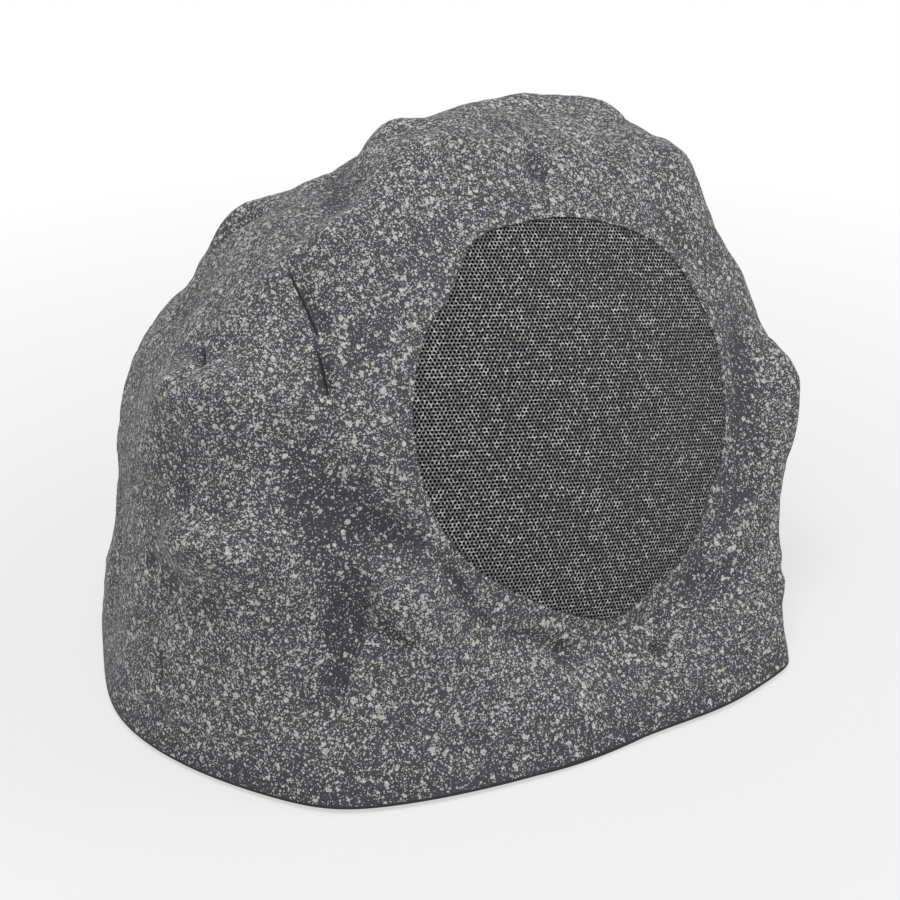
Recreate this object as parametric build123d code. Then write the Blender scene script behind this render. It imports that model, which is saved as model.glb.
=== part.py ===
from build123d import *
import math
import os
from typing import NamedTuple

# Rock-shaped garden speaker, millimetres, +Z up. The origin is the centre of the base on the ground,
# the grille looks to -Y, and +X is to the right as seen from the front.


class Facet(NamedTuple):
    """A broken face of the rock: where it looks, in degrees, and its distance from the origin."""

    azimuth: float
    elevation: float
    reach: float


class Swell(NamedTuple):
    """A local hump, or a hollow where height is negative; spreads and turn are in degrees."""

    azimuth: float
    elevation: float
    height: float
    across: float
    along: float
    turn: float


class Corner(NamedTuple):
    """A place where the grille's rim stands out from its oval, or draws in where rise is negative."""

    angle: float
    rise: float
    spread: float


QUARTER_TURN = 90
HALF_TURN = 180
FULL_TURN = 360

# Grille size; the rock below is drawn for this grille and grows with it
GRILLE_HALF_HEIGHT = 114.0
DRAWN_HALF_HEIGHT = 114.0
ROCK_SCALE = GRILLE_HALF_HEIGHT / DRAWN_HALF_HEIGHT

# Rock form: azimuth 0 is the front, 90 the right side as seen from the front, 180 the rear
FACETS = {
    "toe": Facet(2, 28, 146),
    "front": Facet(6, 22, 153),
    "brow": Facet(8, 46, 239),
    "front_left": Facet(-34, 14, 200),
    "left_front": Facet(-62, 9, 219),
    "toe_left": Facet(-17, 24, 156),
    "left": Facet(-90, 7, 229),
    "left_rear": Facet(-118, 9, 227),
    "rear": Facet(180, 10, 158),
    "rear_right": Facet(125, 6, 200),
    "right_under": Facet(75, -8, 156),
    "right_bulge": Facet(66, 24, 240),
    "right_slope": Facet(70, 47, 294),
    "left_slope": Facet(-78, 40, 279),
    "left_shoulder": Facet(-62, 66, 316),
    "left_rear_slope": Facet(-122, 42, 280),
    "rear_left_crown": Facet(-120, 64, 310),
    "crown": Facet(30, 83, 336),
    "rear_slope": Facet(180, 50, 270),
}
SWELLS = {
    "valley": Swell(-62, 38, -14, 8, 22, 92),
    "low_ledge": Swell(-77, 32, 9, 4.5, 9, 0),
    "high_ledge": Swell(-86, 49, 7, 4.5, 13, 30),
    "front_lobe": Swell(-46, 31, 9, 8, 14, 65),
    "crown_hump": Swell(-151, 79, 12, 5, 5, 0),
    "knee": Swell(-138, 60, 11, 5, 6, 0),
    "notch": Swell(-104, 74, -7, 4, 6, 0),
    "right_top": Swell(92, 60, 9, 5, 6, 0),
    "right_knob": Swell(67, 36, 24, 8, 9, 0),
    "crown_hollow": Swell(80, 82, -7, 4, 4, 0),
    "left_swell": Swell(-125, 38, 6, 8, 8, 0),
}
SHARPNESS = 26
SHELL_WALL = 6.0
RING_STEP = 8
RING_POINTS = 54
CAVITY_POINTS = 36
RIM_POINTS = 36

# Grille and the recess that it drops into; corner angles run from +X up the slope
GRILLE_X = 11.0 * ROCK_SCALE
GRILLE_Y = -88.0 * ROCK_SCALE
GRILLE_Z = 173.0 * ROCK_SCALE
GRILLE_LEAN = 22.0
GRILLE_HALF_WIDTH = 108.0 * ROCK_SCALE
GRILLE_CORNERS = {
    "right": Corner(12, 4.0, 13),
    "upper_right": Corner(40, 7.5, 17),
    "upper_left": Corner(107, 5.0, 10),
    "left_shoulder": Corner(128, -3.5, 8),
    "lower_left": Corner(234, -6.0, 22),
    "foot": Corner(270, 5.0, 9),
    "lower_right": Corner(318, -3.5, 12),
}
DOME_RADIUS = 480.0 * ROCK_SCALE
DOME_APRON = 4.0
DOME_BLEND = 45.0 * ROCK_SCALE
GRILLE_SHEET = 1.0
GRILLE_SKIRT = 9.0
GRILLE_FIT = 0.3
PERFORATION_PITCH = 20.0
PERFORATION_FLATS = 14.0
PERFORATION_ROLL = -13.0
PERFORATION_MARGIN = 13.0
CLOTH_SHEET = 0.5
CLOTH_GAP = 0.3
CLOTH_INSET = 0.6
LEDGE_WIDTH = 4.0
RECESS_WALL = 5.0
BAFFLE_DEPTH = 36.0
BAFFLE_WALL = 8.0
CUTTER_REACH = 72.0

# Base
FLANGE_SHEET = 2.4
BASE_GASKET_SHEET = 0.6
BASE_INSET = 3.5
BASE_GASKET_WIDTH = 2.0
BASE_BOSS_RADIUS = 7.0
BASE_BOSS_HEIGHT = 32.0
BASE_BOSS_BITE = 3.0
BASE_BOSS_AZIMUTHS = (-152, -98, -48, 8, 66, 128)

# Screws, shared sizes
SCREW_RADIUS = 2.0
SCREW_HEAD_RADIUS = 4.0
SCREW_HEAD_HEIGHT = 2.2
SCREW_LENGTH = 18.0
SCREW_FIT = 0.1
DRIVER_SCREW_LENGTH = 12.0

# Woofer, sizes about its own axis
WOOFER_RADIUS = 84.0
WOOFER_FLANGE_WIDTH = 10.0
WOOFER_LAND = 13.0
WOOFER_GASKET_SHEET = 1.5
WOOFER_GASKET_WIDTH = 9.0
WOOFER_FLANGE_SHEET = 3.0
WOOFER_SCREW_EDGE = 0.5
WOOFER_SCREW_COUNT = 4
BASKET_SHEET = 1.6
BASKET_NECK_RADIUS = 41.0
BASKET_WINDOWS = 6
BASKET_WINDOW_WIDTH = 38.0
BASKET_WINDOW_HEIGHT = 15.0
CONE_LIP = 4.0
CONE_SHEET = 1.0
CONE_DEPTH = 28.0
SURROUND_ROLL_RADIUS = 6.5
SURROUND_LIP = 4.0
SURROUND_SHEET = 0.8
CONE_TRAVEL = 4.0
COIL_RADIUS = 16.0
FORMER_SHEET = 0.4
FORMER_LENGTH = 30.0
COIL_SHEET = 0.8
COIL_HEIGHT = 10.0
COIL_GAP = 0.6
GLUE_LINE = 0.1
DUST_CAP_RADIUS = 24.0
DUST_CAP_HEIGHT = 8.0
DUST_CAP_SHEET = 0.8
SPIDER_RADIUS = 48.0
SPIDER_SHEET = 0.7
SPIDER_RIPPLE = 2.0
SPIDER_RIPPLES = 2
TOP_PLATE_RADIUS = 42.0
TOP_PLATE_SHEET = 6.0
MAGNET_RADIUS = 46.0
MAGNET_BORE_RADIUS = 23.0
MAGNET_HEIGHT = 16.0
YOKE_RADIUS = 43.0
YOKE_SHEET = 6.0

# Tweeter on its bridge
BRIDGE_WIDTH = 15.0
BRIDGE_SHEET = 5.0
BRIDGE_CLEARANCE = 2.0
BRIDGE_LEG = 3.0
BRIDGE_GAP = 1.0
POD_RADIUS = 21.0
POD_WALL = 2.0
POD_HEIGHT = 20.0
POD_RISE = 4.0
TWEETER_DOME_RADIUS = 10.0
TWEETER_DOME_HEIGHT = 4.0
TWEETER_SHEET = 0.5
TWEETER_RIM = 5.5
TWEETER_MOTOR_RADIUS = 15.0
TWEETER_MOTOR_HEIGHT = 9.0
TWEETER_GROOVE = 5.0
TWEETER_SEAT = 2.5

# Crossover on the base
BOARD_X = -40.0
BOARD_Y = 62.0
BOARD_LENGTH = 100.0
BOARD_WIDTH = 66.0
BOARD_SHEET = 1.6
STANDOFF_RADIUS = 4.0
STANDOFF_HEIGHT = 8.0
STANDOFF_INSET = 6.0
PIN_RADIUS = 2.0
PIN_RISE = 2.0
PIN_FIT = 0.1
INDUCTOR_OFFSET = 25.0
INDUCTOR_RADIUS = 16.0
INDUCTOR_BORE_RADIUS = 5.0
INDUCTOR_HEIGHT = 16.0
INDUCTOR_CHEEK = 1.5
INDUCTOR_WINDING_INSET = 2.0
CAPACITOR_OFFSET = -12.5
CAPACITOR_RADIUS = 7.0
CAPACITOR_LENGTH = 27.0
CAPACITOR_PITCH = 18.0
RESISTOR_LENGTH = 24.0
RESISTOR_SIDE = 9.0
TERMINAL_LENGTH = 26.0
TERMINAL_WIDTH = 9.0
TERMINAL_HEIGHT = 11.0
TAG_LENGTH = 22.0
TAG_SHEET = 3.0
LEAD_WIDTH = 5.0
LEAD_SHEET = 2.4
LEAD_BEND = 0.45
LEAD_APPROACH = 25.0

# Cable gland, about a +Y axis low in the rear wall
GLAND_X = 30.0
GLAND_Z = 42.0
GLAND_THREAD_RADIUS = 8.0
GLAND_FIT = 0.1
GLAND_FLATS = 21.0
GLAND_FLANGE = 5.0
GLAND_COLLAR = 10.0
GLAND_TAIL = 15.0
GLAND_BORE_RADIUS = 4.2
CABLE_BORE_RADIUS = 3.5
SEAL_LENGTH = 8.0
SEAL_WALL = 2.4
CAP_LIP = 3.0
LOCKNUT_HEIGHT = 5.0
PAD_DEPTH = 4.0
PAD_REACH = 24.0
PAD_RADIUS = 16.0
PAD_WALL = 6.0

# Over-run of a cutting tool past the face that it opens
OVERRUN = 1.0

# Worked-out heights
RIM_Z = FLANGE_SHEET + BASE_GASKET_SHEET
SEAT_DEPTH = (
    DOME_RADIUS
    - math.sqrt(DOME_RADIUS**2 - max(GRILLE_HALF_WIDTH, GRILLE_HALF_HEIGHT) ** 2)
    + GRILLE_SKIRT
)

# Driver frame: z along the grille axis with 0 at the dome's apex, y up the slope
DRIVER = Plane(
    origin=(GRILLE_X, GRILLE_Y, GRILLE_Z),
    x_dir=(1, 0, 0),
    z_dir=(0, -math.cos(math.radians(GRILLE_LEAN)), math.sin(math.radians(GRILLE_LEAN))),
)


def heading(azimuth, elevation):
    """Unit vector out of the origin."""
    a = math.radians(azimuth)
    e = math.radians(elevation)
    return Vector(math.sin(a) * math.cos(e), -math.cos(a) * math.cos(e), math.sin(e))


def facet_reach(look):
    """Distance to the rounded meeting of all the facets along a direction."""
    total = 0.0
    for facet in FACETS.values():
        share = look.dot(heading(facet.azimuth, facet.elevation)) / (facet.reach * ROCK_SCALE)
        total += max(0.0, share) ** SHARPNESS
    return total ** (-1 / SHARPNESS)


def swell_height(look, swell):
    """What one hump or hollow adds along a direction."""
    a = math.radians(swell.azimuth)
    turn = math.radians(swell.turn)
    centre = heading(swell.azimuth, swell.elevation)
    if look.dot(centre) <= 0:
        return 0.0
    east = Vector(math.cos(a), math.sin(a), 0)
    north = heading(swell.azimuth, swell.elevation + QUARTER_TURN)
    along = east * math.cos(turn) + north * math.sin(turn)
    across = north * math.cos(turn) - east * math.sin(turn)
    u = math.degrees(math.asin(look.dot(along))) / swell.along
    v = math.degrees(math.asin(look.dot(across))) / swell.across
    return swell.height * ROCK_SCALE * math.exp(-u * u - v * v)


def grille_rim(angle, grow):
    """Distance from the grille's axis to its rim, or to one larger by grow, at an angle from +X."""
    a = math.radians(angle)
    x = math.cos(a) / (GRILLE_HALF_WIDTH + grow)
    y = math.sin(a) / (GRILLE_HALF_HEIGHT + grow)
    rim = 1 / math.hypot(x, y)
    for corner in GRILLE_CORNERS.values():
        off = (angle - corner.angle + HALF_TURN) % FULL_TURN - HALF_TURN
        rim += corner.rise * ROCK_SCALE * math.exp(-((off / corner.spread) ** 2))
    return rim


def rim_gap(local):
    """How far a point of the driver's frame lies outside the grille's rim, square to its axis."""
    angle = math.degrees(math.atan2(local.Y, local.X))
    return math.hypot(local.X, local.Y) - grille_rim(angle, 0)


def dome_reach(look):
    """Distance to the grille's dome along a direction, or None where the dome isn't met."""
    centre = DRIVER.origin - DRIVER.z_dir * DOME_RADIUS
    middle = look.dot(centre)
    left = middle**2 - centre.dot(centre) + DOME_RADIUS**2
    if left < 0 or look.dot(DRIVER.z_dir) <= 0:
        return None
    return middle + math.sqrt(left)


def rock_reach(azimuth, elevation):
    """Distance from the origin to the rock's skin, eased into the dome round the grille."""
    look = heading(azimuth, elevation)
    rock = facet_reach(look) + sum(swell_height(look, swell) for swell in SWELLS.values())
    front = dome_reach(look)
    if front is None:
        return rock
    beyond = rim_gap(DRIVER.to_local_coords(look * front))
    t = min(1.0, max(0.0, (beyond - DOME_APRON) / DOME_BLEND))
    ease = t * t * (3 - 2 * t)
    return front + (rock - front) * ease


def skin_ring(elevation, points, inset):
    """Closed curve on the rock's skin, or inset from it, at one elevation above the origin."""
    ring = []
    for i in range(points):
        azimuth = HALF_TURN + i * FULL_TURN / points
        ring.append(heading(azimuth, elevation) * (rock_reach(azimuth, elevation) - inset))
    return ring


def closed_wire(points):
    """Smooth closed wire through points, evenly spaced in its parameter so that rings match."""
    spacing = [i / len(points) for i in range(len(points) + 1)]
    return Wire([Edge.make_spline(points, periodic=True, parameters=spacing)])


def base_outline(inset, z, points=RING_POINTS):
    """Outline of the rock's foot, drawn in by an inset, as a wire at height z."""
    return closed_wire([Vector(p.X, p.Y, z) for p in skin_ring(0, points, inset)])


def rock_body(points, inset, foot_z):
    """Solid rock from its foot to the crown."""
    wires = [base_outline(inset, foot_z, points)]
    for elevation in range(RING_STEP, QUARTER_TURN, RING_STEP):
        wires.append(closed_wire(skin_ring(elevation, points, inset)))
    crown = Vertex(0, 0, rock_reach(0, QUARTER_TURN) - inset)
    return Solid.make_loft([*wires, crown])


def slab(inset, bottom, top):
    """Plate with the outline of the rock's foot."""
    return extrude(Face(base_outline(inset, bottom)), amount=top - bottom, dir=(0, 0, 1))


def foot_reach(azimuth, z):
    """Horizontal distance from the Z axis to the rock's skin at a low height."""
    elevation = math.degrees(math.atan2(z, rock_reach(azimuth, 0)))
    return rock_reach(azimuth, elevation) * math.cos(math.radians(elevation))


def tube(outer, inner, bottom, top):
    """Ring about the local Z axis."""
    middle = (bottom + top) / 2
    ring = Cylinder(outer, top - bottom) - Cylinder(inner, top - bottom + 2 * OVERRUN)
    return Pos(0, 0, middle) * ring


def rod(radius, bottom, top):
    """Round bar about the local Z axis."""
    return Pos(0, 0, (bottom + top) / 2) * Cylinder(radius, top - bottom)


def turned(*points):
    """Solid turned from a closed outline of (radius, z) points."""
    outline = Polyline(*[(r, 0, z) for r, z in points], close=True)
    return revolve(make_face(outline), Axis.Z)


def rim_block(grow, bottom, top):
    """Block with the outline of the grille's rim, grown or shrunk, in the driver's frame."""
    rim = []
    for i in range(RIM_POINTS):
        angle = i * FULL_TURN / RIM_POINTS
        out = grille_rim(angle, grow)
        a = math.radians(angle)
        rim.append(Vector(out * math.cos(a), out * math.sin(a), bottom))
    return extrude(Face(closed_wire(rim)), amount=top - bottom, dir=(0, 0, 1))


def ball(radius):
    """Ball with its poles on the local Y axis, clear of any dome that is cut from its top."""
    return Rot(QUARTER_TURN, 0, 0) * Sphere(radius)


def dome(base_radius, rise, sheet, seat_z):
    """Thin dome that stands on the plane z = seat_z."""
    radius = (base_radius**2 + rise**2) / (2 * rise)
    cap = Pos(0, 0, seat_z + rise - radius) * (ball(radius) - ball(radius - sheet))
    return cap & rod(base_radius, seat_z, seat_z + rise + OVERRUN)


def hexagon(flats, bottom, top):
    """Hexagonal bar about the local Z axis."""
    outline = RegularPolygon(flats / 2, 6, major_radius=False)
    return Pos(0, 0, bottom) * extrude(outline, amount=top - bottom)


def countersunk_screw(length):
    """Flat-head screw along +Z, its head flush with z 0."""
    return turned(
        (0, 0),
        (SCREW_HEAD_RADIUS, 0),
        (SCREW_RADIUS, SCREW_HEAD_HEIGHT),
        (SCREW_RADIUS, length),
        (0, length),
    )


def pan_screw(length):
    """Pan-head screw along -Z, its head standing on z 0."""
    return turned(
        (0, -length),
        (SCREW_RADIUS, -length),
        (SCREW_RADIUS, 0),
        (SCREW_HEAD_RADIUS, 0),
        (SCREW_HEAD_RADIUS, SCREW_HEAD_HEIGHT),
        (0, SCREW_HEAD_HEIGHT),
    )


def base_screw_places():
    """Locations on the ground under each base boss, which stands against the inner wall."""
    places = []
    for azimuth in BASE_BOSS_AZIMUTHS:
        wall = min(foot_reach(azimuth, 0), foot_reach(azimuth, BASE_BOSS_HEIGHT)) - SHELL_WALL
        reach = wall - BASE_BOSS_RADIUS + BASE_BOSS_BITE
        spot = heading(azimuth, 0) * reach
        places.append(Pos(spot.X, spot.Y, 0))
    return places


BASE_SCREWS = base_screw_places()

# Gland frame: z out of the rear wall, 0 on the flat pad
GLAND_PAD_Y = foot_reach(HALF_TURN, GLAND_Z) - PAD_DEPTH
GLAND = Plane(origin=(GLAND_X, GLAND_PAD_Y, GLAND_Z), x_dir=(-1, 0, 0), z_dir=(0, 1, 0))

# Radii about the driver's axis
WOOFER_CUTOUT_RADIUS = WOOFER_RADIUS - WOOFER_FLANGE_WIDTH
SURROUND_RADIUS = WOOFER_RADIUS - WOOFER_LAND
CONE_RADIUS = SURROUND_RADIUS - SURROUND_LIP - 2 * SURROUND_ROLL_RADIUS
NECK_RADIUS = COIL_RADIUS + FORMER_SHEET + GLUE_LINE
WOOFER_SCREW_CIRCLE = WOOFER_RADIUS - SCREW_HEAD_RADIUS - WOOFER_SCREW_EDGE

# Heights along the driver's axis, from the grille back
BAFFLE_Z = -BAFFLE_DEPTH
FLANGE_BACK_Z = BAFFLE_Z + WOOFER_GASKET_SHEET
FLANGE_Z = FLANGE_BACK_Z + WOOFER_FLANGE_SHEET
NECK_Z = FLANGE_Z - CONE_DEPTH
SPIDER_Z = NECK_Z - CONE_TRAVEL - SPIDER_RIPPLE
BASKET_FOOT_Z = SPIDER_Z - CONE_TRAVEL - SPIDER_RIPPLE - 2 * BASKET_SHEET
GAP_Z = BASKET_FOOT_Z - BASKET_SHEET
MAGNET_Z = GAP_Z - TOP_PLATE_SHEET
YOKE_Z = MAGNET_Z - MAGNET_HEIGHT
ROLL_TOP_Z = FLANGE_Z + SURROUND_SHEET + SURROUND_ROLL_RADIUS
BRIDGE_Z = ROLL_TOP_Z + CONE_TRAVEL + BRIDGE_CLEARANCE
POD_FRONT_Z = BRIDGE_Z + BRIDGE_SHEET + POD_RISE

# Places on the base
BOARD_Z = FLANGE_SHEET + STANDOFF_HEIGHT
PARTS_Z = BOARD_Z + BOARD_SHEET
TERMINAL_X = BOARD_X - BOARD_LENGTH / 2 + TERMINAL_WIDTH


def rock_shell():
    """One moulded wall: rock skin, grille recess with its baffle, base bosses and gland pad."""
    skin = rock_body(RING_POINTS, 0, RIM_Z)
    cavity = rock_body(CAVITY_POINTS, SHELL_WALL, RIM_Z - OVERRUN)
    back = BAFFLE_Z - BAFFLE_WALL
    cavity -= DRIVER * rim_block(GRILLE_FIT + RECESS_WALL, back, CUTTER_REACH)
    for place in BASE_SCREWS:
        cavity -= place * rod(BASE_BOSS_RADIUS, RIM_Z - 2 * OVERRUN, BASE_BOSS_HEIGHT)
    cavity -= GLAND * rod(PAD_RADIUS + PAD_WALL, -PAD_WALL, PAD_DEPTH + PAD_WALL)

    shell = skin - cavity
    shell -= DRIVER * rim_block(GRILLE_FIT, -SEAT_DEPTH, CUTTER_REACH)
    shell -= DRIVER * rim_block(-LEDGE_WIDTH, BAFFLE_Z, CUTTER_REACH)
    shell -= DRIVER * rod(WOOFER_CUTOUT_RADIUS, back - OVERRUN, CUTTER_REACH)
    for place in [*woofer_screw_places(), *bridge_screw_places()]:
        depth = FLANGE_Z - DRIVER_SCREW_LENGTH - OVERRUN
        shell -= DRIVER * place * rod(SCREW_RADIUS + SCREW_FIT, depth, CUTTER_REACH)
    for place in BASE_SCREWS:
        shell -= place * rod(SCREW_RADIUS + SCREW_FIT, -OVERRUN, SCREW_LENGTH + OVERRUN)
    shell -= GLAND * rod(PAD_RADIUS, 0, PAD_REACH)
    shell -= GLAND * rod(GLAND_THREAD_RADIUS + GLAND_FIT, -PAD_WALL - OVERRUN, OVERRUN)
    return shell


def grille():
    """Domed perforated sheet with a skirt that stands on the recess ledge."""
    centre = Pos(0, 0, -DOME_RADIUS)
    outside = rim_block(0, -SEAT_DEPTH, OVERRUN) & centre * ball(DOME_RADIUS)
    hollow = rim_block(-GRILLE_SHEET, -SEAT_DEPTH - OVERRUN, OVERRUN)
    cup = outside - (hollow & centre * ball(DOME_RADIUS - GRILLE_SHEET))
    opening = hexagon(PERFORATION_FLATS, -SEAT_DEPTH, OVERRUN)
    return DRIVER * (cup - [place * opening for place in perforation_places()])


def perforation_places():
    """Centres of the openings: a hexagonal pattern, rolled about the axis, inside a plain margin."""
    row_pitch = PERFORATION_PITCH * math.sqrt(3) / 2
    reach = math.ceil(GRILLE_HALF_HEIGHT / row_pitch)
    roll = Rot(0, 0, PERFORATION_ROLL)
    places = []
    for row in range(-reach, reach + 1):
        for column in range(-reach, reach + 1):
            place = roll * Pos((column + (row % 2) / 2) * PERFORATION_PITCH, row * row_pitch)
            if rim_gap(place.position) <= -PERFORATION_MARGIN:
                places.append(place)
    return places


def grille_cloth():
    """Thin acoustic cloth behind the perforated sheet."""
    front = DOME_RADIUS - GRILLE_SHEET - CLOTH_GAP
    sheet = Pos(0, 0, -DOME_RADIUS) * (ball(front) - ball(front - CLOTH_SHEET))
    return DRIVER * (sheet & rim_block(-GRILLE_SHEET - CLOTH_INSET, -SEAT_DEPTH, OVERRUN))


def base_plate():
    """Plate under the rock with countersunk screw holes and pinned standoffs for the board."""
    plate = slab(BASE_INSET, 0, FLANGE_SHEET)
    standoff = turned(
        (0, 0),
        (STANDOFF_RADIUS, 0),
        (STANDOFF_RADIUS, BOARD_Z),
        (PIN_RADIUS, BOARD_Z),
        (PIN_RADIUS, PARTS_Z + PIN_RISE),
        (0, PARTS_Z + PIN_RISE),
    )
    for place in standoff_places():
        plate += place * standoff
    sink = turned(
        (0, -OVERRUN),
        (SCREW_HEAD_RADIUS + SCREW_FIT + OVERRUN, -OVERRUN),
        (SCREW_RADIUS + SCREW_FIT, SCREW_HEAD_HEIGHT),
        (SCREW_RADIUS + SCREW_FIT, FLANGE_SHEET + OVERRUN),
        (0, FLANGE_SHEET + OVERRUN),
    )
    for place in BASE_SCREWS:
        plate -= place * sink
    return plate


def base_gasket():
    """Foam strip between the plate and the rock's rim."""
    inner = slab(BASE_INSET + BASE_GASKET_WIDTH, FLANGE_SHEET - OVERRUN, RIM_Z + OVERRUN)
    return slab(BASE_INSET, FLANGE_SHEET, RIM_Z) - inner


def base_screws():
    """Screws up through the plate into the shell's bosses."""
    return [place * countersunk_screw(SCREW_LENGTH) for place in BASE_SCREWS]


def woofer_screw_places():
    """Screw places round the woofer flange, clear of the bridge feet."""
    step = FULL_TURN / WOOFER_SCREW_COUNT
    angles = [step / 2 + i * step for i in range(WOOFER_SCREW_COUNT)]
    return [Rot(0, 0, angle) * Pos(WOOFER_SCREW_CIRCLE, 0, 0) for angle in angles]


def bridge_screw_places():
    """Screw places through the two bridge feet."""
    return [Rot(0, 0, angle) * Pos(WOOFER_SCREW_CIRCLE, 0, 0) for angle in (0, HALF_TURN)]


def woofer_gasket():
    """Ring between the baffle and the woofer flange."""
    ring = tube(WOOFER_RADIUS, WOOFER_RADIUS - WOOFER_GASKET_WIDTH, BAFFLE_Z, FLANGE_BACK_Z)
    for place in [*woofer_screw_places(), *bridge_screw_places()]:
        ring -= place * rod(SCREW_RADIUS + SCREW_FIT, BAFFLE_Z - OVERRUN, FLANGE_BACK_Z + OVERRUN)
    return DRIVER * ring


def woofer_basket():
    """Pressed frame: front flange, open cone of struts, spider ledge and foot on the top plate."""
    throat = WOOFER_CUTOUT_RADIUS - BASKET_SHEET
    shoulder = throat - BASKET_SHEET
    ledge = SPIDER_RADIUS + BASKET_SHEET
    foot_inner = COIL_RADIUS + FORMER_SHEET + COIL_SHEET + CONE_TRAVEL
    frame = turned(
        (SURROUND_RADIUS - SURROUND_LIP, FLANGE_Z),
        (WOOFER_RADIUS, FLANGE_Z),
        (WOOFER_RADIUS, FLANGE_BACK_Z),
        (throat, FLANGE_BACK_Z),
        (throat, BAFFLE_Z - BAFFLE_WALL / 2),
        (ledge + BASKET_SHEET, SPIDER_Z - BASKET_SHEET),
        (BASKET_NECK_RADIUS + BASKET_SHEET, SPIDER_Z - BASKET_SHEET),
        (BASKET_NECK_RADIUS + BASKET_SHEET, GAP_Z),
        (foot_inner, GAP_Z),
        (foot_inner, BASKET_FOOT_Z),
        (BASKET_NECK_RADIUS, BASKET_FOOT_Z),
        (BASKET_NECK_RADIUS, SPIDER_Z),
        (ledge, SPIDER_Z),
        (shoulder, BAFFLE_Z - BAFFLE_WALL / 2),
        (shoulder, FLANGE_Z - BASKET_SHEET),
    )
    window_z = (BAFFLE_Z - BAFFLE_WALL + SPIDER_Z) / 2
    window = Box(WOOFER_CUTOUT_RADIUS, BASKET_WINDOW_WIDTH, BASKET_WINDOW_HEIGHT)
    for i in range(BASKET_WINDOWS):
        turn = Rot(0, 0, (i + 0.5) * FULL_TURN / BASKET_WINDOWS)
        frame -= turn * Pos(WOOFER_CUTOUT_RADIUS, 0, window_z) * window
    for place in [*woofer_screw_places(), *bridge_screw_places()]:
        frame -= place * rod(SCREW_RADIUS + SCREW_FIT, FLANGE_BACK_Z - OVERRUN, FLANGE_Z + OVERRUN)
    return DRIVER * frame


def woofer_surround():
    """Rubber roll from the flange to the cone's rim."""
    roll = SURROUND_ROLL_RADIUS
    crest = [
        (CONE_RADIUS - CONE_LIP, 0),
        (CONE_RADIUS, 0),
        (CONE_RADIUS + roll / 2, roll),
        (CONE_RADIUS + roll * 3 / 2, roll),
        (CONE_RADIUS + roll * 2, 0),
        (SURROUND_RADIUS, 0),
    ]
    upper = [(r, FLANGE_Z + SURROUND_SHEET + z) for r, z in crest]
    lower = [(r, FLANGE_Z + z) for r, z in reversed(crest)]
    return DRIVER * turned(*upper, *lower)


def cone_z(radius):
    """Height of the cone's front face at a radius, by its straight side."""
    share = (radius - NECK_RADIUS) / (CONE_RADIUS - CONE_LIP - NECK_RADIUS)
    return NECK_Z + share * (FLANGE_Z - NECK_Z)


def woofer_cone():
    """Cone with a flat rim under the surround and a neck round the former."""
    rim = CONE_RADIUS - CONE_LIP
    cone = turned(
        (NECK_RADIUS, NECK_Z),
        (rim, FLANGE_Z),
        (CONE_RADIUS, FLANGE_Z),
        (CONE_RADIUS, FLANGE_Z - CONE_SHEET),
        (rim + CONE_SHEET, FLANGE_Z - CONE_SHEET),
        (NECK_RADIUS + CONE_SHEET, NECK_Z - CONE_SHEET),
        (NECK_RADIUS, NECK_Z - CONE_SHEET),
    )
    return DRIVER * cone


def dust_cap():
    """Domed cap over the coil, its edge on the cone."""
    seat_z = cone_z(DUST_CAP_RADIUS) + GLUE_LINE
    return DRIVER * dome(DUST_CAP_RADIUS, DUST_CAP_HEIGHT, DUST_CAP_SHEET, seat_z)


def coil_former():
    """Thin tube that carries the voice coil."""
    top = NECK_Z + OVERRUN
    return DRIVER * tube(COIL_RADIUS + FORMER_SHEET, COIL_RADIUS, top - FORMER_LENGTH, top)


def voice_coil():
    """Winding on the former, centred in the magnet gap."""
    inner = COIL_RADIUS + FORMER_SHEET + GLUE_LINE / 2
    bottom = GAP_Z - (TOP_PLATE_SHEET + COIL_HEIGHT) / 2
    return DRIVER * tube(inner + COIL_SHEET, inner, bottom, bottom + COIL_HEIGHT)


def spider():
    """Rippled centring disc from the basket ledge to the former."""
    inner = NECK_RADIUS
    ripple_start = inner + SPIDER_SHEET
    ripple_end = BASKET_NECK_RADIUS
    step = (ripple_end - ripple_start) / (2 * SPIDER_RIPPLES)
    crest = [(inner, 0.0), (ripple_start, 0.0)]
    for i in range(2 * SPIDER_RIPPLES - 1):
        crest.append((ripple_start + (i + 1) * step, SPIDER_RIPPLE if i % 2 == 0 else 0.0))
    crest += [(ripple_end, 0.0), (SPIDER_RADIUS, 0.0)]
    upper = [(r, SPIDER_Z + SPIDER_SHEET + z) for r, z in crest]
    lower = [(r, SPIDER_Z + z) for r, z in reversed(crest)]
    return DRIVER * turned(*upper, *lower)


def top_plate():
    """Front pole ring round the voice coil."""
    gap = COIL_RADIUS + FORMER_SHEET + COIL_SHEET + COIL_GAP
    return DRIVER * tube(TOP_PLATE_RADIUS, gap, MAGNET_Z, GAP_Z)


def magnet():
    """Ferrite ring."""
    return DRIVER * tube(MAGNET_RADIUS, MAGNET_BORE_RADIUS, YOKE_Z, MAGNET_Z)


def yoke():
    """Back plate with its centre pole."""
    pole = COIL_RADIUS - COIL_GAP
    return DRIVER * turned(
        (0, GAP_Z),
        (pole, GAP_Z),
        (pole, YOKE_Z),
        (YOKE_RADIUS, YOKE_Z),
        (YOKE_RADIUS, YOKE_Z - YOKE_SHEET),
        (0, YOKE_Z - YOKE_SHEET),
    )


def woofer_screws():
    """Screws through the woofer flange into the baffle."""
    screw = Pos(0, 0, FLANGE_Z) * pan_screw(DRIVER_SCREW_LENGTH)
    return [DRIVER * place * screw for place in woofer_screw_places()]


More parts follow.
